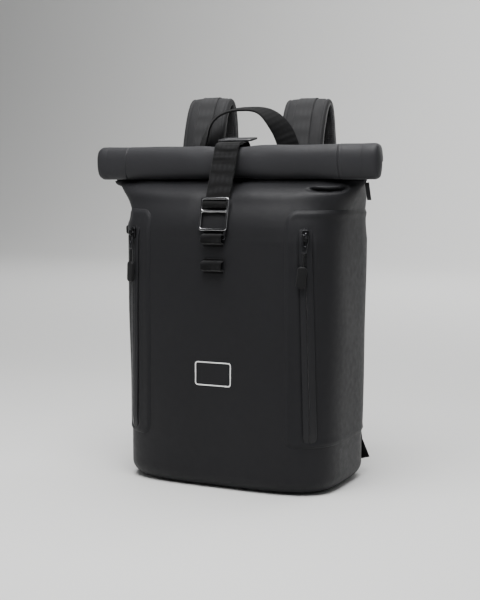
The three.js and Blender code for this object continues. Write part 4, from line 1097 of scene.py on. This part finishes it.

# The buckle is one plated zinc casting, with a painted highlight on its rounded edges and crossbar: a frame with a
# slider bar for the strap, a crossbar, and a hook that goes down beside the upper loop and passes through it.
BUCKLE_HALF = STRAP_HALF + GAP + BUCKLE_RAIL
LOOP_HALF = 14.5
lean_up = np.array([0.0, math.sin(BUCKLE_LEAN), math.cos(BUCKLE_LEAN)])
lean_out = np.array([0.0, -math.cos(BUCKLE_LEAN), math.sin(BUCKLE_LEAN)])
buckle_centre = buckle_point(BUCKLE_HEIGHT / 2, BUCKLE_THICKNESS / 2)
in_buckle = in_frame((0.0, *buckle_centre), np.array([1.0, 0.0, 0.0]), lean_up, lean_out)
top_edge = BUCKLE_HEIGHT / 2 - BUCKLE_RAIL
bar_y = BUCKLE_HEIGHT / 2 - SLIDER_BAR_DROP
cross_y = BUCKLE_HEIGHT / 2 - CROSS_BAR_DROP
low_edge = -BUCKLE_HEIGHT / 2 + BUCKLE_RAIL
holes = [rounded(2 * inside, high - low, 1.8, 4, (0.0, (high + low) / 2))
         for high, low in ((top_edge, cross_y + BUCKLE_RAIL / 2), (cross_y - BUCKLE_RAIL / 2, low_edge))]
frame_piece = placed_plate("buckle_frame", rounded(2 * BUCKLE_HALF, BUCKLE_HEIGHT, 4.0, 8), holes, BUCKLE_THICKNESS,
                           1.15, in_buckle)
dressed(frame_piece, plated_zinc_material, "gunmetal", "hook_buckle")
painted_edge_highlights(frame_piece, edge_highlight_metal_material, lean_out)
# The crossbar gets the brighter metal all round, as a painted highlight.
for polygon in frame_piece.data.polygons:
    height = np.dot(np.array(polygon.center) / MM - [0.0, *buckle_centre], lean_up)
    if abs(height - cross_y) < BUCKLE_RAIL / 2 + 0.1:
        polygon.material_index = 1
BAR_SIDES, BAR_ROWS, BAR_SUNK = 16, 20, 0.5
angle = full_circle(BAR_SIDES)
bar_rings = [in_buckle(np.column_stack([np.full(BAR_SIDES, x), bar_y + BAR_SIZE / 2 * np.cos(angle),
                                        BAR_SIZE / 2 * np.sin(angle)]))
             for x in np.linspace(-inside - BAR_SUNK, inside + BAR_SUNK, BAR_ROWS)]
dressed(loft("slider_bar", bar_rings), plated_zinc_material, "gunmetal")
hook_inner = LOOP_HALF + 2 * GAP
hook_right = hook_inner + BUCKLE_RAIL
hook_root = -BUCKLE_HEIGHT / 2 + 1.0
hook_low = -BUCKLE_HEIGHT / 2 - HOOK_DROP
hook_high = hook_low + BAR_SIZE
hook_outline = [(hook_inner, hook_root), (hook_inner, hook_high + 1.2), (hook_inner - 1.2, hook_high),
                (-LOOP_HALF + 0.8, hook_high), (-LOOP_HALF, hook_high - 0.9), (-LOOP_HALF, hook_low + 0.9),
                (-LOOP_HALF + 0.8, hook_low), (hook_right - 1.6, hook_low), (hook_right, hook_low + 1.8),
                (hook_right, hook_root)]
hook = placed_plate("buckle_hook", hook_outline[::-1], [], BAR_SIZE, 0.8,
                    lambda p: in_buckle(p + (0, 0, -BUCKLE_THICKNESS / 2 + BAR_SIZE / 2)))
dressed(hook, plated_zinc_material, "gunmetal")

# Two short loops of webbing are sewn on below the buckle by flat feet, and stand off the cloth between
# them. The hook sits in the upper one.
LOOP_HEIGHT, LOOP_PUFF, LOOP_FOOT = 19.0, 8.0, 3.0
LOOP_UPPER, LOOP_SPACING = 312.5, 34.0
for label, base in (("upper", LOOP_UPPER), ("lower", LOOP_UPPER - LOOP_SPACING)):
    foot = LOOP_FOOT / LOOP_HEIGHT
    rows = [(0, 0), (foot, 0.2), (foot + 0.08, LOOP_PUFF * 0.45), (0.32, LOOP_PUFF * 0.92), (0.52, LOOP_PUFF),
            (0.72, LOOP_PUFF * 0.92), (1 - foot - 0.06, LOOP_PUFF * 0.5), (1 - foot, 0.2), (1, 0)]
    loop_path = []
    for share, lift in rows:
        z = base + LOOP_HEIGHT * share
        angle = front_angle(0.0, z)
        loop_path.append(off_skin(angle, z, lift + WEBBING / 2 + GAP)[1:])
    loop = flat_ribbon(f"front_loop_{label}", even_path(spline_points(loop_path, 80), 0.5), LOOP_HALF, WEBBING)
    dressed(loop, strap_material, "webbing", f"webbing_loop_{label}")

# A blank frame is screen-printed on the cloth in white ink, with nothing inside it.
PRINT_BOX = (-27.5, 134.0, 23.6, 165.0)
PRINT_LINE, PRINT_CORNER = 1.5, 4.0
PRINT_LIFT = 0.12
print_material, print_shader = plain_material("white ink", (0.80, 0.80, 0.79), 0.6)
print_tree = print_material.node_tree
print_grain = noise(print_tree, coords(print_tree), 1600.0, 2.0)
tinted(print_tree, print_shader, (0.78, 0.78, 0.77), 0.06, print_grain)
print_middle = ((PRINT_BOX[0] + PRINT_BOX[2]) / 2, (PRINT_BOX[1] + PRINT_BOX[3]) / 2)
print_size = (PRINT_BOX[2] - PRINT_BOX[0], PRINT_BOX[3] - PRINT_BOX[1])


def closed_ring(name, rings):
    """Closed body through rings of equal count, whose last ring joins the first."""
    rings = np.asarray(rings)
    rows, count = rings.shape[:2]
    points = rings.reshape(-1, 3)
    faces = grid_faces(rows, count, wrap=True)
    last = (rows - 1) * count
    faces += [(last + c, last + (c + 1) % count, (c + 1) % count, c) for c in range(count)]
    return linked(name, points, outward(points, faces))


ring_of_print = []
for inset, lift in ((0, 0.02), (0, PRINT_LIFT), (PRINT_LINE, PRINT_LIFT), (PRINT_LINE, 0.02)):
    line = rounded(print_size[0] - 2 * inset, print_size[1] - 2 * inset, PRINT_CORNER - inset, 8, print_middle)
    x, z = np.transpose(line)
    ring_of_print.append(skin(front_angle(x, z), z, lift))
dressed(closed_ring("printed_frame", ring_of_print), print_material, "coated_cloth")

# The back panel is foam under spacer mesh, bound at its edge. A channel for air runs up its middle, and
# three pressed grooves cross it.
PAD_HALF = 100.0
PAD_BOTTOM, PAD_TOP = 30.0, 362.0
PAD_THICKNESS, PAD_EDGE, PAD_LEAST = 10.0, 2.6, 1.6
PAD_ROUNDING, PAD_CORNER = 13.0, 9.0
CHANNEL_DEPTH, CHANNEL_WIDTH = 5.2, 11.0
GROOVE_DEPTH, GROOVE_LEVELS, GROOVE_SLOPE = 4.2, (112.0, 196.0, 280.0), 0.22


def spacer_mesh(name, color, cell=2.6):
    """Knitted spacer mesh: a skin of small round holes over a dark core."""
    material, shader = plain_material(name, color, 0.9)
    tree = material.node_tree
    place = coords(tree)
    cells = node_of(tree, "ShaderNodeTexVoronoi", feature="F1")
    cells.inputs["Scale"].default_value = 1000.0 / cell
    cells.inputs["Randomness"].default_value = 0.12
    tree.links.new(place, cells.inputs["Vector"])
    holes = ranged(tree, cells.outputs["Distance"], 0.2, 0.5, 0.0, 1.0)
    yarn = noise(tree, place, 1100.0, 2.0, 0.7)
    tinted(tree, shader, color, 0.6, math_of(tree, "MULTIPLY", holes, ranged(tree, yarn, 0.2, 0.8, 0.7, 1.2)))
    bumped(tree, shader, holes, 0.0006)
    shader.inputs["Sheen Weight"].default_value = 0.25
    return material


mesh_material = spacer_mesh("black spacer mesh", (0.010, 0.010, 0.011))


def pad_depth(x, z):
    """Thickness of the back panel: crowned, thin at its edge, with the channel and grooves pressed in."""
    side = 1 - np.clip((np.abs(x) - (PAD_HALF - PAD_ROUNDING)) / PAD_ROUNDING, 0, 1) ** 2.4
    ends = np.minimum(z - PAD_BOTTOM, PAD_TOP - z)
    ends = 1 - np.clip((PAD_ROUNDING - ends) / PAD_ROUNDING, 0, 1) ** 2.4
    crown_of_pad = PAD_EDGE + (PAD_THICKNESS - PAD_EDGE) * np.minimum(side, ends)
    channel = CHANNEL_DEPTH * bump_at(x, CHANNEL_WIDTH)
    slope = z - GROOVE_SLOPE * np.abs(x)
    grooves = sum(GROOVE_DEPTH * bump_at(slope - level, 5.0) for level in GROOVE_LEVELS) * np.clip(side, 0, 1)
    quilt = 0.5 * np.sin(np.abs(x) / 16.0) * np.sin(z / 27.0)
    return np.maximum(crown_of_pad - channel - grooves * np.minimum(side, ends) + quilt * ends, PAD_LEAST)


def edged_steps(low, high, inner_count):
    """Places from low to high, closer together where the pad's edge is rounded."""
    return np.concatenate([np.linspace(low, low + PAD_ROUNDING, 12),
                           np.linspace(low + PAD_ROUNDING, high - PAD_ROUNDING, inner_count)[1:-1],
                           np.linspace(high - PAD_ROUNDING, high, 12)])


pad_x = edged_steps(-PAD_HALF, PAD_HALF, 86)
pad_z = edged_steps(PAD_BOTTOM, PAD_TOP, 130)
top_grid, low_grid = [], []
for z in pad_z:
    from_end = max(PAD_CORNER - min(z - PAD_BOTTOM, PAD_TOP - z), 0) / PAD_CORNER
    inset = PAD_CORNER * (1 - math.sqrt(max(1 - from_end**2, 0)))
    x = pad_x * (1 - inset / PAD_HALF)
    level = np.full(len(x), z)
    low_grid.append(skin(back_angle(x, level), level, SKIN_GAP))
    top_grid.append(skin(back_angle(x, level), level, SKIN_GAP + pad_depth(pad_x, level)))
rows, columns = len(pad_z), len(pad_x)
pad_points = np.concatenate([np.reshape(top_grid, (-1, 3)), np.reshape(low_grid, (-1, 3))])
size = rows * columns
pad_faces = grid_faces(rows, columns)
pad_faces += [tuple(reversed(face)) for face in grid_faces(rows, columns, start=size)]
rim = list(range(columns)) + [r * columns + columns - 1 for r in range(1, rows)]
rim += [(rows - 1) * columns + c for c in range(columns - 2, -1, -1)]
rim += [r * columns for r in range(rows - 2, 0, -1)]
for a, b in zip(rim, rim[1:] + rim[:1]):
    pad_faces.append((b, a, a + size, b + size))
back_pad = smooth_shaded(linked("back_pad", pad_points, outward(pad_points, pad_faces)))
dressed(back_pad, mesh_material, "spacer_mesh", "back_panel")
binding_material = webbing_cloth("edge binding", (0.010, 0.010, 0.0105), rib=0.9)
BINDING_RADIUS, BINDING_SIDES = 1.7, 10
line = pad_points[rim]
tangent = unit(np.roll(line, -1, axis=0) - np.roll(line, 1, axis=0))
first = unit(np.cross(tangent, [0.31, 0.87, 0.38]))
second = np.cross(tangent, first)
angle = full_circle(BINDING_SIDES)
rings = line[:, None] + BINDING_RADIUS * (np.cos(angle)[:, None] * first[:, None]
                                          + np.sin(angle)[:, None] * second[:, None])
binding = smooth_shaded(closed_ring("back_pad_binding", rings))
set_uv(binding, [(run, BINDING_RADIUS * a) for run in run_along(line) for a in angle])
dressed(binding, binding_material, "webbing")

# Each shoulder strap is foam between cloth and spacer mesh, bound along its edges. It is sewn into the
# bag's back, arches up and over, and hangs down behind. A webbing band is sewn down its outer face.
SHOULDER_X, SHOULDER_WIDTH, SHOULDER_THICKNESS = 72.0, 61.0, 12.0
SHOULDER_CROWN, SHOULDER_END, SHOULDER_END_WIDTH = 502.0, 160.0, 42.0
SHOULDER_DRIFT = 20.0
STRAP_SLUMP = {1: 4.0, -1: -1.0}
ARCH_FRONT = 9.0
SHOULDER_BACK = BACK + SKIN_GAP + PAD_THICKNESS + 32.0
BAND_WIDTH, BAND_SHEET = 25.0, 1.2
EDGE_ROUNDING, BOUND_EDGE = 4.5, 5.6
STITCH_PITCH, STITCH, STITCH_INSET = 3.0, (0.8, 0.6, 2.4), 1.7
FACE_STEPS, STRAP_ROWS, BAND_ROWS = 44, 190, 230
SHOULDER_ROUTE = np.array([
    # up, out, drift, taper
    (0.62, 0.128, 0, 0), (0.667, 0.043, 0, 0), (0.716, 0, 0, 0), (0.79, 0.02, 0, 0), (0.863, 0.064, 0, 0),
    (0.936, 0.132, 0, 0), (0.985, 0.208, 0, 0), (1, 0.276, 0, 0), (0.985, 0.338, 0, 0), (0.936, 0.386, 0, 0),
    (0.863, 0.417, 0.02, 0), (0.79, 0.449, 0.06, 0), (0.716, 0.522, 0.12, 0), (0.643, 0.66, 0.22, 0.02),
    (0.561, 0.85, 0.36, 0.06), (0.468, 0.962, 0.52, 0.14), (0.365, 1, 0.68, 0.28), (0.263, 0.99, 0.8, 0.48),
    (0.161, 0.965, 0.9, 0.7), (0.073, 0.93, 0.96, 0.88), (0, 0.9, 1, 1),
])
strap_cloth_material = coated_cloth("padded strap cloth", (0.0165, 0.0165, 0.0175), 0.66, 0.0002)
band_material = webbing_cloth("grey strap band", (0.029, 0.029, 0.030), rib=2.9, depth=0.00012, contrast=0.18)
thread_material, _ = plain_material("bonded thread", (0.003, 0.003, 0.0032), 0.6)

# The bag as a solid, which only trims what is sewn into it.
core_grid = np.stack([skin(around, np.full(AROUND, z), GAP) for z in heights])
core_top = core_grid[-1] + np.array([0, 0, 0.4])
core_points = np.concatenate([core_grid.reshape(-1, 3), core_top, [(0.0, 0.0, -GAP)], [core_top.mean(axis=0)]])
core_faces = grid_faces(len(heights) + 1, AROUND, wrap=True)
top_row = len(heights) * AROUND
for c in range(AROUND):
    d = (c + 1) % AROUND
    core_faces += [(d, c, len(core_points) - 2), (top_row + c, top_row + d, len(core_points) - 1)]
core = linked("bag_core", core_points, core_faces)


def trimmed_by_bag(piece):
    """Cuts off what would lie inside the bag, as the real piece is cut and sewn at the seam."""
    cutter = piece.modifiers.new("seam", "BOOLEAN")
    cutter.operation = "DIFFERENCE"
    cutter.solver = "EXACT"
    cutter.object = core
    mesh = finished_mesh(piece)
    piece.modifiers.remove(cutter)
    piece.data = mesh
    return piece


def shoulder_stations(count, hand=1):
    table = np.column_stack([np.arange(len(SHOULDER_ROUTE)), SHOULDER_ROUTE])
    at = np.linspace(0, len(SHOULDER_ROUTE) - 1, count)
    up, out, drift, taper = follow(table, at).T
    place = np.column_stack([SHOULDER_X + SHOULDER_DRIFT * drift, lerp(ARCH_FRONT, SHOULDER_BACK, out),
                             lerp(SHOULDER_END, SHOULDER_CROWN - STRAP_SLUMP[hand], up)])
    run = unit(np.gradient(place, axis=0))
    face = unit(np.column_stack([np.zeros(count), -run[:, 2], run[:, 1]]))
    width = lerp(SHOULDER_WIDTH, SHOULDER_END_WIDTH, taper)
    return place, face, width, SHOULDER_THICKNESS * (1 - 0.2 * taper), run_along(place)


def shoulder_strap(label, hand):
    place, face, width, thickness, length = shoulder_stations(STRAP_ROWS, hand)
    sweep_of_face = np.cos(np.linspace(0, np.pi, FACE_STEPS))
    u = np.concatenate([-sweep_of_face, sweep_of_face[1:-1]])
    side = np.concatenate([np.ones(FACE_STEPS), -np.ones(FACE_STEPS - 2)])
    rings, uv = [], []
    for i in range(len(place)):
        half = width[i] / 2
        across = u * half
        edge = half - np.abs(across)
        body = np.sqrt(np.clip(1 - (np.maximum(EDGE_ROUNDING - edge, 0) / EDGE_ROUNDING) ** 2, 0, 1))
        flat = 0.30 + 0.70 * body
        crown_of_strap = 0.90 + 0.10 * np.clip(edge / 16.0, 0, 1)
        seam = 0.22 * bump_at(edge - BOUND_EDGE, 1.1)
        band_seat = 0.12 * before(np.abs(across) - BAND_WIDTH / 2, 0.7) * (side > 0)
        inner_waves = 0.05 * np.sin(length[i] / 6.0 + across / 17.0) * (side < 0)
        puff = 0.05 * np.sin(length[i] / 9.5 + hand * 0.7) * np.sin(np.abs(across) / 5.0) * (side > 0)
        through = side * (flat * crown_of_strap - seam - band_seat + inner_waves + puff) * thickness[i] / 2
        through = np.where(edge < 0.01, 0.0, through)
        ring = place[i] + np.outer(through, face[i])
        ring[:, 0] += across
        ring[:, 0] *= hand
        rings.append(ring)
        uv += [(length[i], a) for a in across]
    piece = loft(f"shoulder_pad_{label}", rings)
    set_uv(piece, uv)
    piece.data.materials.append(strap_cloth_material)
    piece.data.materials.append(mesh_material)
    for polygon in piece.data.polygons:
        corners = [v % len(u) for v in polygon.vertices]
        if len(corners) == 4 and min(corners) >= len(u) // 2:
            polygon.material_index = 1
    return trimmed_by_bag(piece)


def band_rings(hand, lift):
    place, face, width, thickness, length = shoulder_stations(BAND_ROWS, hand)
    centres = place + face * (thickness / 2 * 0.9 + lift)[:, None]
    centres[:, 0] *= hand
    return centres, face, length


def crinkle(run, across):
    """The band lies in short waves between its seams."""
    middle = np.clip(1 - (np.abs(across) / 11.0) ** 4, 0, 1)
    short = math.sin(run / 2.1 + 1.7 * math.sin(run / 17.0)) * np.cos(across / 7.0 + run / 13.0)
    return middle * (0.16 * short + 0.12 * np.sin(run / 5.3 + across / 9.0 + 1.3)) + 0.2


for label, hand in (("right", 1), ("left", -1)):
    pad = shoulder_strap(label, hand)
    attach(pad, "bag")
    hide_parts(f"shoulder_strap_{label}")
    centres, thins, length = band_rings(hand, BAND_SHEET / 2 + 0.15)
    wides = np.tile([float(hand), 0.0, 0.0], (len(centres), 1))
    band = webbing_ribbon(f"strap_band_{label}", centres, wides, thins, np.full(len(centres), BAND_WIDTH / 2),
                          BAND_SHEET, length, crinkle)
    trimmed_by_bag(band)
    dressed(band, band_material, "webbing", f"strap_webbing_{label}")
    seams = band_rings(hand, BAND_SHEET + 0.4)[0]
    level = np.minimum(seams[:, 2], MOUTH)
    back_of_bag = bare_skin(back_angle(seams[:, 0], level), level)[:, 1]
    clear = np.flatnonzero((seams[:, 2] < MOUTH + 8.0) & (seams[:, 1] < back_of_bag + 2.0))
    seams = seams[clear.max() + 1:] if len(clear) else seams
    for side, shift in (("inner", -1), ("outer", 1)):
        line = seams + [shift * (BAND_WIDTH / 2 - STITCH_INSET), 0, 0]
        stitches = row_of_pieces(f"band_stitches_{side}_{label}", line, STITCH, STITCH_PITCH, thread_material)
        dressed(stitches, thread_material, "webbing")

# The carrying handle is a stiff arch of webbing. Its feet are sewn behind the mouth, and it turns as it
# rises and passes in front of the shoulder straps.
HANDLE_SPAN, HANDLE_CROWN, HANDLE_FRONT, HANDLE_FORWARD = 68.5, 490.0, -4.0, 8.0
HANDLE_SHIFT = 0.5
HANDLE_WIDTH, HANDLE_THICKNESS = 28.0, 2.4
FOOT_TURN, TOP_TURN, LEFT_TURN = 15.0, 79.0, 0.6
HANDLE_ROUTE = np.array([
    # rise, turn, forward
    (0, 0, 0), (0.64, 0.38, 0.6), (0.82, 0.63, 1), (0.93, 0.85, 0.7), (1, 1, 0),
])
handle_foot = MOUTH - (MOUTH - SHOULDER) * 0.12
steps = 200
arc = np.linspace(0, np.pi, steps + 1)
c, s = np.cos(arc), np.maximum(np.sin(arc), 0)
turns, forward = follow(HANDLE_ROUTE, s).T
turns = np.where(c < 0, np.clip(turns, 0, 1) ** LEFT_TURN, turns)
middle = np.column_stack([HANDLE_SHIFT + HANDLE_SPAN * np.sign(c) * np.abs(c) ** 0.75,
                          HANDLE_FRONT - HANDLE_FORWARD * forward, lerp(handle_foot, HANDLE_CROWN, s ** 0.85)])
outward_of_arch = unit(np.column_stack([c / HANDLE_SPAN, np.zeros(steps + 1), s / (HANDLE_CROWN - handle_foot)]))
turn_angle = np.radians(lerp(FOOT_TURN, TOP_TURN, turns))[:, None]
wide = outward_of_arch * np.cos(turn_angle) + np.array([0, 1.0, 0]) * np.sin(turn_angle)
thin = unit(np.cross(wide, np.cross(outward_of_arch, [0, 1.0, 0])))
handle_runs = run_along(middle)


def handle_folds(run, across):
    leg = bump_at(run - 45.0, 30.0) + 0.4 * bump_at(run - handle_runs[-1] + 40.0, 30.0)
    return leg * (0.35 * math.sin(run / 2.4) * (0.5 + 0.5 * np.cos(across / 6.0)) + 0.2 * math.sin(run / 1.5 + 0.4))


handle = webbing_ribbon("carrying_handle", middle, wide, thin, np.full(steps + 1, HANDLE_WIDTH / 2),
                        HANDLE_THICKNESS, handle_runs, handle_folds)
trimmed_by_bag(handle)
# The handle's webbing is painted darker than the closing strap's: painted shade on the handle.
handle_painted_shade_material = webbing_cloth("handle webbing painted darker", (0.0045, 0.0045, 0.0048))
dressed(handle, handle_painted_shade_material, "webbing", "grab_handle")

# Below each strap a ladder adjuster of moulded nylon holds the lower webbing, which runs down to a tab of
# doubled webbing sewn into the bag's lower corner.
ADJUSTER = (33.0, 30.0, 6.0)
ADJUSTER_RAIL, ADJUSTER_BAR = 4.0, 6.0
ANCHOR_X, ANCHOR_HEIGHT, ANCHOR_REACH = 126.0, 42.0, 4.5
TAB_LENGTH, TAB_THICKNESS, TAB_SPREAD = 26.0, 3.0, 1.6
LOWER_HALF, LOWER_SAG = 10.0, 2.2
LOWER_ROWS, ANCHOR_ROWS = 150, 40
plastic_material = coated_cloth("moulded nylon", (0.012, 0.012, 0.013), 0.42, 0.00004)


def tail_frame(hand):
    start = shoulder_stations(len(SHOULDER_ROUTE))[0][-1] * (hand, 1, 1)
    stop = off_skin(back_angle(ANCHOR_X, ANCHOR_HEIGHT), ANCHOR_HEIGHT, ANCHOR_REACH) * (hand, 1, 1)
    down = unit(stop - start)
    across = unit(np.cross(down, [0, 1.0, 0]))
    return start, across, down, np.cross(across, down), np.linalg.norm(stop - start)


adjuster_start = SHOULDER_THICKNESS / 2 + GAP
for label, hand in (("right", 1), ("left", -1)):
    start, across, down, out, length = tail_frame(hand)
    place = in_frame(start, across, down, out)
    reach = ADJUSTER[1] / 2 - ADJUSTER_RAIL
    slots = [rounded(BAND_WIDTH + 2 * GAP, reach - ADJUSTER_BAR / 2, 1.2, 3,
                     (0.0, sign * (reach + ADJUSTER_BAR / 2) / 2)) for sign in (-1, 1)]
    middle_y = adjuster_start + ADJUSTER[1] / 2
    adjuster = placed_plate(f"ladder_adjuster_{label}", rounded(ADJUSTER[0], ADJUSTER[1], 3.4, 6), slots,
                            ADJUSTER[2], 1.5, lambda p, place=place: place(p + (0, middle_y, 0)))
    dressed(adjuster, plastic_material, "plastic", f"strap_adjuster_{label}")
    run_start = adjuster_start + ADJUSTER[1] + GAP
    along = np.linspace(run_start, length, LOWER_ROWS)
    sag = LOWER_SAG * np.sin(np.pi * (along - run_start) / (length - run_start))
    tab_along = np.linspace(length + GAP, length + TAB_LENGTH, ANCHOR_ROWS)
    grow = lerp(1.0, TAB_SPREAD, (tab_along - tab_along[0]) / (tab_along[-1] - tab_along[0]))
    for name, node, at, lift, half, sheet in (
            ("lower_strap", "lower_webbing", along, sag, np.full(LOWER_ROWS, LOWER_HALF), WEBBING),
            ("anchor", "anchor_tab", tab_along, np.zeros(ANCHOR_ROWS), LOWER_HALF * grow, TAB_THICKNESS)):
        rows = len(at)
        centres = place(np.column_stack([np.zeros(rows), at, lift]))
        lower = webbing_ribbon(f"{name}_{label}", centres, np.tile(across, (rows, 1)), np.tile(out, (rows, 1)),
                               half, sheet, at)
        if node == "anchor_tab":
            trimmed_by_bag(lower)
        dressed(lower, strap_material, "webbing", f"{node}_{label}")

# Behind the mouth's right end hangs a small slanted tab of webbing, and on the left panel a small nylon loop
# is sewn into the seam.
TAB_X, TAB_TOP, TAB_DROP, TAB_WIDTH = 181.5, 393.5, 22.0, 5.5
LOOP_LEVEL, LOOP_LENGTH, LOOP_REACH = 330.0, 12.0, 9.0
tab_half = TAB_WIDTH / 2
root_y = bare_skin(back_angle(TAB_X - tab_half * 1.2, TAB_TOP), TAB_TOP)[1]
TAB_ROWS = 36
drop = np.linspace(0, TAB_DROP, TAB_ROWS)
share = drop / TAB_DROP
left_edge = lerp(-tab_half * 1.5, -tab_half * 0.3, share)
right_edge = lerp(tab_half * 0.3, tab_half * 1.5, share)
centres = np.column_stack([TAB_X + (left_edge + right_edge) / 2, np.full(TAB_ROWS, root_y), TAB_TOP - drop])
side_tab = webbing_ribbon("side_webbing_tab", centres, np.tile([1.0, 0, 0], (TAB_ROWS, 1)),
                          np.tile([0, -1.0, 0], (TAB_ROWS, 1)), (right_edge - left_edge) / 2, TAB_THICKNESS, drop)
trimmed_by_bag(side_tab)
dressed(side_tab, band_material, "webbing", "side_tab")
loop_hole = rounded(LOOP_REACH - 3.6, LOOP_LENGTH - 4.8, 1.2, 3, (-0.2, 0.0))
root = off_skin(np.pi + math.radians(12), LOOP_LEVEL, 2 * SKIN_GAP + PANEL_SHEET)
side_loop = placed_plate("side_nylon_loop", rounded(LOOP_REACH, LOOP_LENGTH, 3.0, 6), [loop_hole], TAB_THICKNESS, 0.9,
                         lambda p: root + np.column_stack([-p[:, 0] - LOOP_REACH / 2, p[:, 2], p[:, 1]]))
dressed(side_loop, plastic_material, "webbing", "side_loop")

bpy.data.objects.remove(core)
